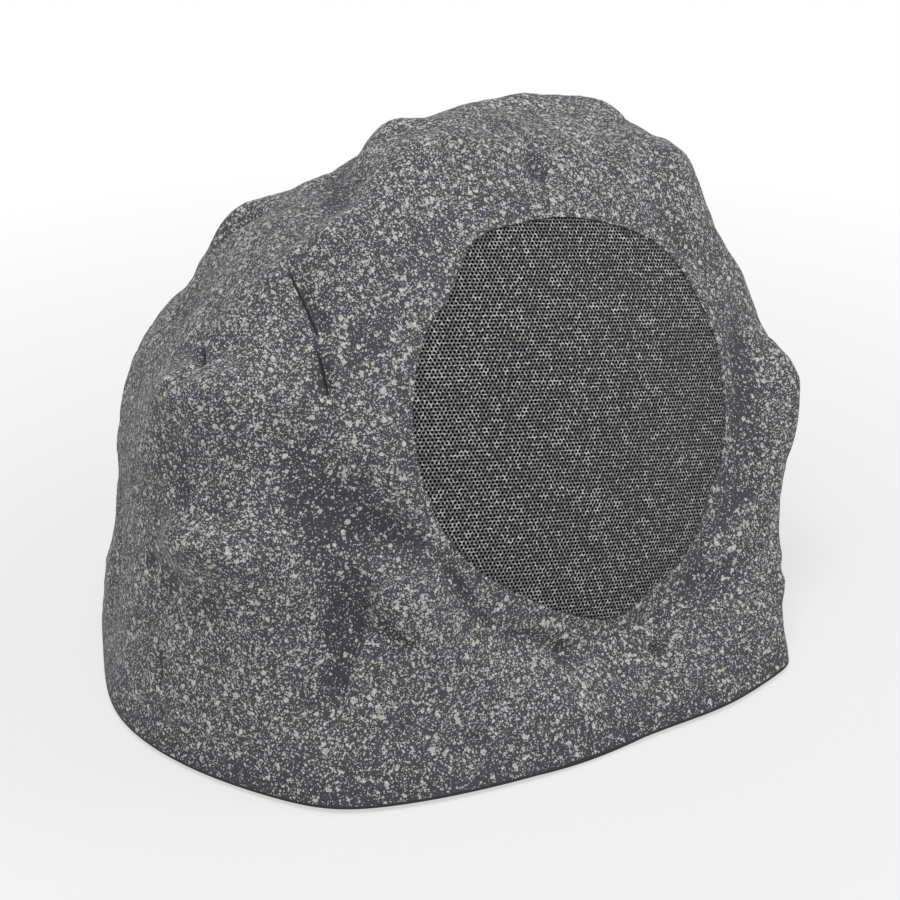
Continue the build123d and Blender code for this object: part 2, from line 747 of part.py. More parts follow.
def bridge_screws():
    """Screws through the bridge feet and the flange into the baffle."""
    screw = Pos(0, 0, FLANGE_Z + BRIDGE_SHEET) * pan_screw(DRIVER_SCREW_LENGTH + BRIDGE_SHEET)
    return [DRIVER * place * screw for place in bridge_screw_places()]


def tweeter_bridge():
    """Moulded bar across the woofer with two feet and the pod that holds the tweeter."""
    leg_inner = SURROUND_RADIUS + BRIDGE_GAP
    leg_outer = leg_inner + BRIDGE_LEG
    bar_top = BRIDGE_Z + BRIDGE_SHEET
    bar = Pos(0, 0, BRIDGE_Z + BRIDGE_SHEET / 2) * Box(2 * leg_outer, BRIDGE_WIDTH, BRIDGE_SHEET)
    pod = rod(POD_RADIUS, POD_FRONT_Z - POD_HEIGHT, POD_FRONT_Z)
    body = bar + pod
    leg_height = bar_top - FLANGE_Z
    leg = Box(BRIDGE_LEG, BRIDGE_WIDTH, leg_height)
    foot = Box(WOOFER_RADIUS - leg_inner, BRIDGE_WIDTH, BRIDGE_SHEET)
    for side in (-1, 1):
        body += Pos(side * (leg_inner + leg_outer) / 2, 0, FLANGE_Z + leg_height / 2) * leg
        body += Pos(side * (leg_inner + WOOFER_RADIUS) / 2, 0, FLANGE_Z + BRIDGE_SHEET / 2) * foot
    screw_hole = rod(SCREW_RADIUS + SCREW_FIT, FLANGE_Z - OVERRUN, FLANGE_Z + BRIDGE_SHEET + OVERRUN)
    for place in bridge_screw_places():
        body -= place * screw_hole
    well = POD_RADIUS - POD_WALL
    motor = TWEETER_MOTOR_RADIUS + SCREW_FIT
    body -= rod(well, POD_FRONT_Z - TWEETER_SEAT, POD_FRONT_Z + OVERRUN)
    body -= rod(motor, POD_FRONT_Z - TWEETER_SEAT - TWEETER_MOTOR_HEIGHT, POD_FRONT_Z)
    return DRIVER * body


def tweeter_dome():
    """Diaphragm with its flat rim, seated in the pod."""
    seat_z = POD_FRONT_Z - TWEETER_SEAT
    cap = dome(TWEETER_DOME_RADIUS, TWEETER_DOME_HEIGHT, TWEETER_SHEET, seat_z)
    rim_radius = TWEETER_DOME_RADIUS + TWEETER_RIM
    rim = tube(rim_radius, TWEETER_DOME_RADIUS - TWEETER_SHEET, seat_z, seat_z + TWEETER_SHEET)
    return DRIVER * (cap + rim)


def tweeter_motor():
    """Tweeter magnet cup in the pod's well."""
    front = POD_FRONT_Z - TWEETER_SEAT
    back = front - TWEETER_MOTOR_HEIGHT
    cup = rod(TWEETER_MOTOR_RADIUS, back, front)
    groove_inner = TWEETER_DOME_RADIUS - 2 * TWEETER_SHEET
    groove = tube(TWEETER_DOME_RADIUS, groove_inner, front - TWEETER_GROOVE, front + OVERRUN)
    return DRIVER * (cup - groove)


def standoff_places():
    """Places of the board's four standoffs."""
    dx = BOARD_LENGTH / 2 - STANDOFF_INSET
    dy = BOARD_WIDTH / 2 - STANDOFF_INSET
    return [Pos(BOARD_X + sx * dx, BOARD_Y + sy * dy, 0) for sx in (-1, 1) for sy in (-1, 1)]


def crossover_board():
    """Circuit board on the standoff pins."""
    board = Box(BOARD_LENGTH, BOARD_WIDTH, BOARD_SHEET)
    board = Pos(BOARD_X, BOARD_Y, BOARD_Z + BOARD_SHEET / 2) * board
    for place in standoff_places():
        board -= place * rod(PIN_RADIUS + PIN_FIT, BOARD_Z - OVERRUN, PARTS_Z + OVERRUN)
    return board


def inductor():
    """Copper coil on a cheeked bobbin, standing on the board."""
    place = Pos(BOARD_X + INDUCTOR_OFFSET, BOARD_Y, PARTS_Z)
    waist = INDUCTOR_RADIUS - INDUCTOR_WINDING_INSET
    return place * turned(
        (INDUCTOR_BORE_RADIUS, 0),
        (INDUCTOR_RADIUS, 0),
        (INDUCTOR_RADIUS, INDUCTOR_CHEEK),
        (waist, INDUCTOR_CHEEK),
        (waist, INDUCTOR_HEIGHT - INDUCTOR_CHEEK),
        (INDUCTOR_RADIUS, INDUCTOR_HEIGHT - INDUCTOR_CHEEK),
        (INDUCTOR_RADIUS, INDUCTOR_HEIGHT),
        (INDUCTOR_BORE_RADIUS, INDUCTOR_HEIGHT),
    )


def capacitors():
    """Two cans lying side by side on the board."""
    cans = []
    for i in (-0.5, 0.5):
        y = BOARD_Y + i * CAPACITOR_PITCH
        place = Pos(BOARD_X + CAPACITOR_OFFSET, y, PARTS_Z + CAPACITOR_RADIUS)
        cans.append(place * Rot(0, QUARTER_TURN, 0) * Cylinder(CAPACITOR_RADIUS, CAPACITOR_LENGTH))
    return cans


def resistor():
    """Ceramic block resistor at the board's front edge."""
    y = BOARD_Y - BOARD_WIDTH / 2 + RESISTOR_SIDE
    block = Box(RESISTOR_LENGTH, RESISTOR_SIDE, RESISTOR_SIDE)
    return Pos(BOARD_X + CAPACITOR_OFFSET, y, PARTS_Z + RESISTOR_SIDE / 2) * block


def terminal_block():
    """Screw terminals for the leads."""
    block = Box(TERMINAL_WIDTH, TERMINAL_LENGTH, TERMINAL_HEIGHT)
    return Pos(TERMINAL_X, BOARD_Y, PARTS_Z + TERMINAL_HEIGHT / 2) * block


def woofer_tag():
    """Solder tag strip under the basket's spider ledge."""
    x = BASKET_NECK_RADIUS + BASKET_SHEET + TAG_SHEET / 2
    z = (SPIDER_Z - BASKET_SHEET + GAP_Z) / 2
    height = SPIDER_Z - BASKET_SHEET - GAP_Z
    return DRIVER * Pos(-x, 0, z) * Box(TAG_SHEET, TAG_LENGTH, height)


def lead(*route):
    """Flat two-core lead that leaves straight up and is bent on arcs at the route's corners."""
    radii = []
    for before, corner, after in zip(route, route[1:], route[2:]):
        shorter = min((corner - before).length, (after - corner).length)
        turn = (corner - before).get_angle(after - corner)
        radii.append(LEAD_BEND * shorter / math.tan(math.radians(turn / 2)))
    path = FilletPolyline(*route, radius=radii)
    start = Plane(origin=route[0], x_dir=(0, 1, 0), z_dir=(0, 0, 1))
    return sweep(start * Rectangle(LEAD_WIDTH, LEAD_SHEET), path=path)


def woofer_lead():
    """Lead from the terminal block to the woofer's tag strip."""
    start = Vector(TERMINAL_X, BOARD_Y + TERMINAL_LENGTH / 4, PARTS_Z + TERMINAL_HEIGHT)
    tag_x = BASKET_NECK_RADIUS + BASKET_SHEET + TAG_SHEET
    tag_z = (SPIDER_Z - BASKET_SHEET + GAP_Z) / 2
    end = DRIVER.from_local_coords(Vector(-tag_x, 0, tag_z))
    return lead(start, Vector(start.X, start.Y, end.Z), end - Vector(LEAD_APPROACH, 0, 0), end)


def tweeter_lead():
    """Lead from the terminal block to the back of the baffle beside the bridge's foot."""
    start = Vector(TERMINAL_X, BOARD_Y - TERMINAL_LENGTH / 4, PARTS_Z + TERMINAL_HEIGHT)
    end = DRIVER.from_local_coords(Vector(TERMINAL_X - GRILLE_X, 0, BAFFLE_Z - BAFFLE_WALL))
    behind = (start.Y - end.Y) / math.cos(math.radians(GRILLE_LEAN))
    return lead(start, end - DRIVER.z_dir * behind, end)


def gland_body():
    """Threaded body: hex flange on the pad, tail through the wall, collar for the seal."""
    tail = rod(GLAND_THREAD_RADIUS, -GLAND_TAIL, 0)
    collar = rod(GLAND_THREAD_RADIUS, GLAND_FLANGE, GLAND_FLANGE + GLAND_COLLAR)
    body = tail + hexagon(GLAND_FLATS, 0, GLAND_FLANGE) + collar
    top = GLAND_FLANGE + GLAND_COLLAR
    body -= rod(GLAND_BORE_RADIUS, -GLAND_TAIL - OVERRUN, top + OVERRUN)
    body -= rod(CABLE_BORE_RADIUS + SEAL_WALL + GLAND_FIT, top - SEAL_LENGTH, top + OVERRUN)
    return GLAND * body


def gland_seal():
    """Rubber bush that grips the cable."""
    top = GLAND_FLANGE + GLAND_COLLAR
    return GLAND * tube(CABLE_BORE_RADIUS + SEAL_WALL, CABLE_BORE_RADIUS, top - SEAL_LENGTH, top)


def gland_cap():
    """Hexagon cap that presses the seal."""
    top = GLAND_FLANGE + GLAND_COLLAR
    cap = hexagon(GLAND_FLATS, GLAND_FLANGE, top + CAP_LIP)
    cap -= rod(GLAND_THREAD_RADIUS + GLAND_FIT, GLAND_FLANGE - OVERRUN, top)
    cap -= rod(GLAND_BORE_RADIUS, top - OVERRUN, top + CAP_LIP + OVERRUN)
    return GLAND * cap


def gland_locknut():
    """Nut inside the wall."""
    bottom = -PAD_WALL - LOCKNUT_HEIGHT
    nut = hexagon(GLAND_FLATS, bottom, -PAD_WALL)
    nut -= rod(GLAND_THREAD_RADIUS + GLAND_FIT, bottom - OVERRUN, -PAD_WALL + OVERRUN)
    return GLAND * nut


MAKERS = (
    rock_shell,
    grille,
    grille_cloth,
    base_plate,
    base_gasket,
    base_screws,
    woofer_gasket,
    woofer_basket,
    woofer_surround,
    woofer_cone,
    dust_cap,
    coil_former,
    voice_coil,
    spider,
    top_plate,
    magnet,
    yoke,
    woofer_screws,
    tweeter_bridge,
    bridge_screws,
    tweeter_dome,
    tweeter_motor,
    crossover_board,
    inductor,
    capacitors,
    resistor,
    terminal_block,
    woofer_tag,
    woofer_lead,
    tweeter_lead,
    gland_body,
    gland_seal,
    gland_cap,
    gland_locknut,
)

os.makedirs("parts", exist_ok=True)
for maker in MAKERS:
    piece = maker()
    shape = Compound(children=piece) if isinstance(piece, list) else piece
    export_step(shape, f"parts/{maker.__name__}.step")
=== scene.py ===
"""Looks of a rock-shaped garden speaker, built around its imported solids."""

import logging
import math
from dataclasses import dataclass
from enum import Enum
from functools import reduce
from typing import Any, Callable

import bmesh
import bpy
import numpy as np
from bmesh.types import BMesh, BMVert
from bpy.types import Material, Mesh, Node, NodeSocket, Object, World
from mathutils import Matrix, Vector, noise


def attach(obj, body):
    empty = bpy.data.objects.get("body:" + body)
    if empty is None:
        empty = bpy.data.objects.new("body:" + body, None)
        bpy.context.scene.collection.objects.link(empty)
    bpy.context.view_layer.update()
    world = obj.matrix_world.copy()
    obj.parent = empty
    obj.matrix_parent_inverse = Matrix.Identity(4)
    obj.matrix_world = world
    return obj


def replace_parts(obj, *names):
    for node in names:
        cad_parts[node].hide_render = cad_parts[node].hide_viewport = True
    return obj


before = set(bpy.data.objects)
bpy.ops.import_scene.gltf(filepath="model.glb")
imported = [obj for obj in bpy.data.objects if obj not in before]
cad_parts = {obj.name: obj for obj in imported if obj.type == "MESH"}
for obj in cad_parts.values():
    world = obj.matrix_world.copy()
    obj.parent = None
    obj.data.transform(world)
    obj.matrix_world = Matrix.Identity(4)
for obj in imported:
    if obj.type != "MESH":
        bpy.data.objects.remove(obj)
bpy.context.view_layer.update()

LOG = logging.getLogger("rock_speaker")
MM = 0.001

Array = np.ndarray
Pair = tuple[float, float]
Point = tuple[float, float, float]
Colour = tuple[float, float, float]
WHITE: Colour = (1.0, 1.0, 1.0)


class Body(Enum):
    """The moving bodies of the speaker."""

    ENCLOSURE = "enclosure"
    CONE = "cone_assembly"


def heading(azimuth: float, elevation: float) -> Array:
    """Unit vector by degrees round from the front, with 90 to the right, and above the ground."""
    a, e = math.radians(azimuth), math.radians(elevation)
    return np.array([math.sin(a) * math.cos(e), -math.cos(a) * math.cos(e), math.sin(e)])


def smooth_step(t: Array) -> Array:
    """Eased ramp from 0 to 1 over t from 0 to 1."""
    t = np.clip(t, 0.0, 1.0)
    return t * t * (3.0 - 2.0 * t)


@dataclass(frozen=True)
class Facet:
    """A broken face of the rock: where it looks, in degrees, and its distance in millimetres."""

    azimuth: float
    elevation: float
    reach: float

    def facing(self, look: Array) -> Array:
        """Cosine between the way the face looks and each direction."""
        return look @ heading(self.azimuth, self.elevation)


@dataclass(frozen=True)
class Swell:
    """A hump, or a hollow where height is negative; spreads and turn are in degrees."""

    azimuth: float
    elevation: float
    height: float
    across: float
    along: float
    turn: float = 0.0

    def lift(self, look: Array) -> Array:
        """What the swell adds along each direction.

        Args:
            look: Unit vectors, one a row.

        Returns:
            Millimetres for each direction.
        """
        turn = math.radians(self.turn)
        centre = heading(self.azimuth, self.elevation)
        east = heading(self.azimuth + 90, 0.0)
        north = heading(self.azimuth, self.elevation + 90)
        along = east * math.cos(turn) + north * math.sin(turn)
        across = north * math.cos(turn) - east * math.sin(turn)
        u = np.degrees(np.arcsin(np.clip(look @ along, -1, 1))) / self.along
        v = np.degrees(np.arcsin(np.clip(look @ across, -1, 1))) / self.across
        return np.where(look @ centre > 0, self.height * np.exp(-u * u - v * v), 0.0)


@dataclass(frozen=True)
class Fold:
    """A ridge, or a groove where height is negative, that fades out at both ends of its line.

    The line runs through (azimuth, elevation) points. Each side falls away over its own distance in
    millimetres, left and right as seen from outside along the line.
    """

    line: tuple[Pair, ...]
    height: float
    left: float
    right: float

    def trace(self, look: Array) -> tuple[Array, Array]:
        """Where each direction lies along the line.

        Args:
            look: Unit vectors, one a row.

        Returns:
            Distance from the line on the unit ball, positive to its left, and a share that falls
            to 0 at the line's ends.
        """
        points = np.array([heading(*p) for p in self.line])
        nearest = np.full(len(look), np.inf)
        side = np.zeros(len(look))
        along = np.zeros(len(look))
        done = 0.0
        for start, end in zip(points, points[1:]):
            run = end - start
            length = np.linalg.norm(run)
            t = np.clip(((look - start) @ run) / length**2, 0.0, 1.0)
            off = look - start - t[:, None] * run
            gap = np.linalg.norm(off, axis=1)
            closer = gap < nearest
            nearest = np.where(closer, gap, nearest)
            side = np.where(closer, off @ np.cross(start, run), side)
            along = np.where(closer, done + t * length, along)
            done += length
        fade = smooth_step(3.0 * np.minimum(along, done - along) / done)
        return np.where(side > 0, nearest, -nearest), fade

    def lift(self, look: Array, reach: Array) -> Array:
        """What the fold adds along each direction.

        Args:
            look: Unit vectors, one a row.
            reach: Distance to the rock along each, in millimetres.

        Returns:
            Millimetres for each direction.
        """
        off, fade = self.trace(look)
        width = np.where(off > 0, self.left, self.right)
        return self.height * fade * np.exp(-((off * reach / width) ** 2))


@dataclass(frozen=True)
class Corner:
    """A place where the grille's rim stands out from its oval, or draws in where rise is negative."""

    angle: float
    rise: float
    spread: float


@dataclass(frozen=True)
class GrilleSeat:
    """The domed oval that the grille fills, in millimetres, with its own frame."""

    centre: Point = (11.0, -88.0, 173.0)
    lean: float = 22.0
    half_width: float = 108.0
    half_height: float = 114.0
    corners: tuple[Corner, ...] = (
        Corner(12, 4.0, 13), Corner(40, 7.5, 17), Corner(107, 5.0, 10), Corner(128, -3.5, 8),
        Corner(234, -6.0, 22), Corner(270, 5.0, 9), Corner(318, -3.5, 12),
    )
    dome_radius: float = 480.0
    apron: float = 4.0
    clear_aprons: float = 3.0
    blend: float = 45.0
    wide_blend: float = 90.0
    ledge_drop: float = 9.0
    fit: float = 0.3

    @property
    def axis(self) -> Array:
        """The way that the grille looks."""
        return heading(0.0, self.lean)

    @property
    def upward(self) -> Array:
        """Up the grille's slope."""
        return heading(0.0, self.lean + 90)

    @property
    def skirt_depth(self) -> float:
        """Depth of the grille's skirt below the dome's top, where it stands on its ledge."""
        longer = max(self.half_width, self.half_height)
        return self.dome_radius - math.sqrt(self.dome_radius**2 - longer**2) + self.ledge_drop

    def to_local(self, points: Array) -> Array:
        """Points of the speaker's frame in the grille's frame, all in millimetres."""
        d = points - np.array(self.centre)
        return np.stack([d[:, 0], d @ self.upward, d @ self.axis], axis=1)

    def to_world(self, local: Array) -> Array:
        """Points of the grille's frame in the speaker's frame, all in millimetres."""
        sides = np.array([(1.0, 0.0, 0.0), self.upward, self.axis])
        return local @ sides + np.array(self.centre)

    def dome_height(self, x: Array, y: Array, sink: float = 0.0) -> Array:
        """Height of the dome over the grille's plane, or of a dome that lies deeper by sink."""
        radius = self.dome_radius - sink
        return np.sqrt(radius**2 - x * x - y * y) - self.dome_radius

    def rim(self, angle: Array, grow: float = 0.0) -> Array:
        """Distance from the axis to the rim.

        Args:
            angle: Radians round the axis.
            grow: Millimetres by which the oval is larger.

        Returns:
            Millimetres for each angle.
        """
        x = np.cos(angle) / (self.half_width + grow)
        y = np.sin(angle) / (self.half_height + grow)
        reach = 1.0 / np.hypot(x, y)
        for corner in self.corners:
            off = (np.degrees(angle) - corner.angle + 180.0) % 360.0 - 180.0
            reach = reach + corner.rise * np.exp(-((off / corner.spread) ** 2))
        return reach

    def beyond(self, local: Array, grow: float = 0.0) -> Array:
        """Distance outside the rim, or outside one that is larger by grow."""
        angle = np.arctan2(local[:, 1], local[:, 0])
        return np.hypot(local[:, 0], local[:, 1]) - self.rim(angle, grow)

    def outline(self, count: int, grow: float = 0.0) -> Array:
        """Places spaced round the rim, or round one larger by grow, in the grille's plane."""
        angle = np.arange(count) * 2 * math.pi / count
        return self.rim(angle, grow)[:, None] * np.stack([np.cos(angle), np.sin(angle)], axis=1)

    def dome_reach(self, look: Array) -> Array:
        """Distance from the origin to the dome.

        Args:
            look: Unit vectors, one a row.

        Returns:
            Millimetres along each direction, nan where the dome isn't met.
        """
        middle = np.array(self.centre) - self.axis * self.dome_radius
        b = look @ middle
        left = b * b - middle @ middle + self.dome_radius**2
        met = (left >= 0) & (look @ self.axis > 0)
        return np.where(met, b + np.sqrt(np.clip(left, 0, None)), np.nan)


@dataclass(frozen=True)
class RockForm:
    """The boulder: rounded facets with humps and hollows, eased into the grille's dome.

    Facets and swells are those of the solid. Dents, folds, cracks, the crown's flat faces and the
    strewn chips are the finer relief over it.
    """

    seat: GrilleSeat
    sharpness: float = 26.0
    rim_height: float = 3.0
    wall: float = 6.0
    facets: tuple[Facet, ...] = (
        Facet(2, 28, 146), Facet(6, 22, 153), Facet(8, 46, 239), Facet(-34, 14, 200),
        Facet(-62, 9, 219), Facet(-17, 24, 156), Facet(-90, 7, 229), Facet(-118, 9, 227),
        Facet(180, 10, 158), Facet(125, 6, 200), Facet(75, -8, 156), Facet(66, 24, 240),
        Facet(70, 47, 294), Facet(-78, 40, 279), Facet(-62, 66, 316), Facet(-122, 42, 280),
        Facet(-120, 64, 310), Facet(30, 83, 336), Facet(180, 50, 270),
    )
    swells: tuple[Swell, ...] = (
        Swell(-62, 38, -14, 8, 22, 92), Swell(-77, 32, 9, 4.5, 9), Swell(-86, 49, 7, 4.5, 13, 30),
        Swell(-46, 31, 9, 8, 14, 65), Swell(-151, 79, 12, 5, 5), Swell(-138, 60, 11, 5, 6),
        Swell(-104, 74, -7, 4, 6), Swell(92, 60, 9, 5, 6), Swell(67, 36, 24, 8, 9),
        Swell(80, 82, -7, 4, 4), Swell(-125, 38, 6, 8, 8),
    )
    dents: tuple[Swell, ...] = (
        # Under the knee, and the valley beside the grille
        Swell(-131.5, 61.3, -20, 3.6, 2.0), Swell(-62, 44.5, -10, 5.0, 6.5),
        Swell(-56.5, 43.5, -6, 3.2, 4.0),
        # Along the foot of the grille
        Swell(-14.8, 22, -8, 2.4, 2.8), Swell(13.4, 14.2, -6, 1.8, 2.2), Swell(0, 13.5, -3, 2, 2),
        # Crown: the places that are broken out of it
        Swell(-137, 82.5, -5, 2, 2.5), Swell(96, 65.5, -9, 2.5, 3), Swell(104, 62.3, -6, 2.2, 3),
        Swell(96, 75.3, -9, 1.8, 3.8), Swell(84, 83.4, -7, 1.9, 3.0), Swell(-105, 87.6, -8, 1.6, 1.9),
        Swell(101.6, 83, -3, 1.5, 1.5),
        # Right flank under the hump
        Swell(76, 56, -6, 5, 6), Swell(69, 47.5, -7, 3, 4), Swell(73, 44.5, -4, 2.2, 3),
        Swell(60, 31.5, 5, 3.5, 4), Swell(37, 26.5, 5, 3, 4), Swell(46, 27, 5, 4, 5),
        # Left slope and flank: drawn in at the outline, beside the crack, and pits
        Swell(-122, 75, -6, 4, 5), Swell(-142, 74.5, -7, 2.6, 3.5), Swell(-122, 53.5, -5, 5, 6),
        Swell(-82, 65, -4, 3, 5), Swell(-113.5, 9, -4, 2, 2), Swell(-94.8, 27, -4, 1.5, 1.5),
        Swell(-122, 40.6, -4, 2, 2),
        # Foot, spread a little at the right, the front and the left
        Swell(22, 0, 8, 11, 16), Swell(-45, 0, 5, 10, 20), Swell(-95, 0, 5, 10, 12),
    )
    folds: tuple[Fold, ...] = (
        # Break between the left slope and the left face
        Fold(((-96.3, 57.6), (-93.1, 60.4), (-89.2, 64.1), (-87.2, 69.3), (-89.7, 76.9)), 6, 12, 8),
        # High and low ledge
        Fold(((-104.6, 44.3), (-89.7, 46.8), (-81.7, 49), (-75.8, 52.5), (-71, 56.2)), 13, 17, 14),
        Fold(((-93, 30.5), (-81.1, 32.2), (-75.4, 33.8), (-71.5, 36.7), (-68, 40)), 13, 14, 14),
        # Short upright creases
        Fold(((-89.7, 43.2), (-88.3, 39.5), (-86, 35.1)), -3, 2.5, 2.5),
        Fold(((-90.1, 17.4), (-88.6, 8.5)), -3, 2.4, 2.4),
        # Lip of the valley, its groove and the lobe's ledge
        Fold(((-73.6, 51.2), (-66.6, 53.3), (-57, 52.6), (-49.7, 48.4)), 4, 22, 9),
        Fold(
            ((-54.6, 38.2), (-56, 34.7), (-60.6, 30.5), (-60.8, 24.2), (-60.8, 15.6), (-60.9, 8.8)),
            -10, 5, 20,
        ),
        Fold(((-59.1, 28.1), (-58.1, 32.3), (-53.6, 35.1), (-47.4, 37.4), (-41.6, 39.2)), 13, 7, 24),
        # Crease under the grille
        Fold(((-48.5, 43.7), (-43.9, 40), (-39.6, 35.4), (-35.1, 31.2), (-30.2, 28.6)), -4.5, 5, 4),
        Fold(((-34, 30.5), (-30.2, 28.6), (-22.1, 26.4), (-13.3, 23.7)), -4, 5, 4),
        # Back of the crown, a notch in its front, the step and the hump to its right
        Fold(((-168, 76.5), (160, 78), (140, 77), (126, 74), (116, 68), (110, 62)), 10, 24, 24),
        Fold(((85.2, 81.8), (76.3, 83.1), (59.9, 84.2)), -4, 5, 5),
        Fold(((97, 68), (94.4, 69), (90.5, 70.8), (86, 72)), -4, 3, 5),
        Fold(((91.9, 68.7), (90.6, 65.7), (87, 62.5), (83.9, 61)), 4, 9, 9),
    )
    cracks: tuple[Fold, ...] = (
        Fold(((-93, 64.8), (-86.6, 63.5), (-82.8, 62.5), (-80.2, 61.7), (-76.8, 60.2)), -7, 8, 2.6),
        Fold(((-78.5, 60.6), (-74.5, 57.7), (-71.6, 55.5)), -6, 3.6, 2.4),
        Fold(((-97, 52.4), (-93.5, 51.3), (-90.8, 50.2)), -5, 2.5, 2.5),
    )
    crown: tuple[Facet, ...] = (Facet(9.0, 85.8, 314.7), Facet(43.6, 73.7, 299.6))
    crown_edge: float = 1.3
    least_facing: float = 0.2
    plain_foot: float = 30.0
    chip_seed: int = 4
    chips: int = 90
    chip_depth: Pair = (-3.0, 2.0)
    chip_across: Pair = (0.8, 2.2)
    chip_along: Pair = (2.0, 6.0)

    def reach(self, look: Array) -> tuple[Array, Array]:
        """Distance to the rock's skin, and where the skin may be rough.

        Args:
            look: Unit vectors, one a row.

        Returns:
            Millimetres along each direction, and a share that is 0 at the grille and the foot and
            1 on bare rock.
        """
        total = np.zeros(len(look))
        for facet in self.facets:
            total += np.clip(facet.facing(look) / facet.reach, 0, None) ** self.sharpness
        rock = total ** (-1 / self.sharpness)
        for swell in self.swells:
            rock = rock + swell.lift(look)
        dome = self.seat.dome_reach(look)
        met = ~np.isnan(dome)
        beyond = np.full(len(look), self.seat.blend * 2)
        beyond[met] = self.seat.beyond(self.seat.to_local(look[met] * dome[met, None]))
        span = np.where(rock < dome, self.seat.wide_blend, self.seat.blend)
        ease = smooth_step((beyond - self.seat.apron) / span)
        skin = np.where(met, dome + (rock - dome) * ease, rock)
        clear = smooth_step((beyond - self.seat.apron) / self.seat.apron / self.seat.clear_aprons)
        for dent in self.dents:
            skin = skin + dent.lift(look) * clear
        for fold in self.folds + self.cracks:
            skin = skin + fold.lift(look, skin) * clear
        for flat in self.crown:
            plane = flat.reach / np.clip(flat.facing(look), self.least_facing, None)
            skin = skin - self.crown_edge * np.logaddexp(0.0, (skin - plane) / self.crown_edge)
        clear = clear * smooth_step(look[:, 2] * skin / self.plain_foot)
        for chip in self._chips():
            skin = skin + chip.lift(look) * clear
        return skin, clear

    def _chips(self) -> list[Swell]:
        """Strews small hollows and humps over the whole rock, always the same ones.

        Returns:
            The hollows and humps.
        """
        strewn = np.random.default_rng(self.chip_seed)
        made = []
        for _ in range(self.chips):
            azimuth = strewn.uniform(-180, 180)
            elevation = math.degrees(math.asin(strewn.uniform(0.0, 1.0)))
            depth = strewn.uniform(*self.chip_depth)
            across = strewn.uniform(*self.chip_across)
            along = strewn.uniform(*self.chip_along)
            made.append(Swell(azimuth, elevation, depth, across, along, strewn.uniform(0, 180)))
        return made


@dataclass(frozen=True)
class Value:
    """A shader socket that takes part in Python expressions."""

    graph: "Graph"
    socket: NodeSocket

    def _math(self, operation: str, first: Any, second: Any = 0.0) -> "Value":
        """One Math node on two values."""
        node = self.graph.node("ShaderNodeMath", {"operation": operation}, {0: first, 1: second})
        return Value(self.graph, node.outputs[0])

    def __add__(self, other: Any) -> "Value":
        """Sum."""
        return self._math("ADD", self, other)

    __radd__ = __add__

    def __sub__(self, other: Any) -> "Value":
        """Difference."""
        return self._math("SUBTRACT", self, other)

    def __rsub__(self, other: Any) -> "Value":
        """Difference from a number."""
        return self._math("SUBTRACT", other, self)

    def __mul__(self, other: Any) -> "Value":
        """Product."""
        return self._math("MULTIPLY", self, other)

    __rmul__ = __mul__

    def __truediv__(self, other: Any) -> "Value":
        """Quotient."""
        return self._math("DIVIDE", self, other)

    def clamped(self) -> "Value":
        """The value kept between 0 and 1."""
        node = self.graph.node("ShaderNodeClamp", {}, {0: self})
        return Value(self.graph, node.outputs[0])

    def ramp(self, low: float, high: float) -> "Value":
        """0 up to low, 1 from high on, and straight between them."""
        return ((self - low) / (high - low)).clamped()

    def or_more(self, other: Any) -> "Value":
        """The larger of two values."""
        return self._math("MAXIMUM", self, other)


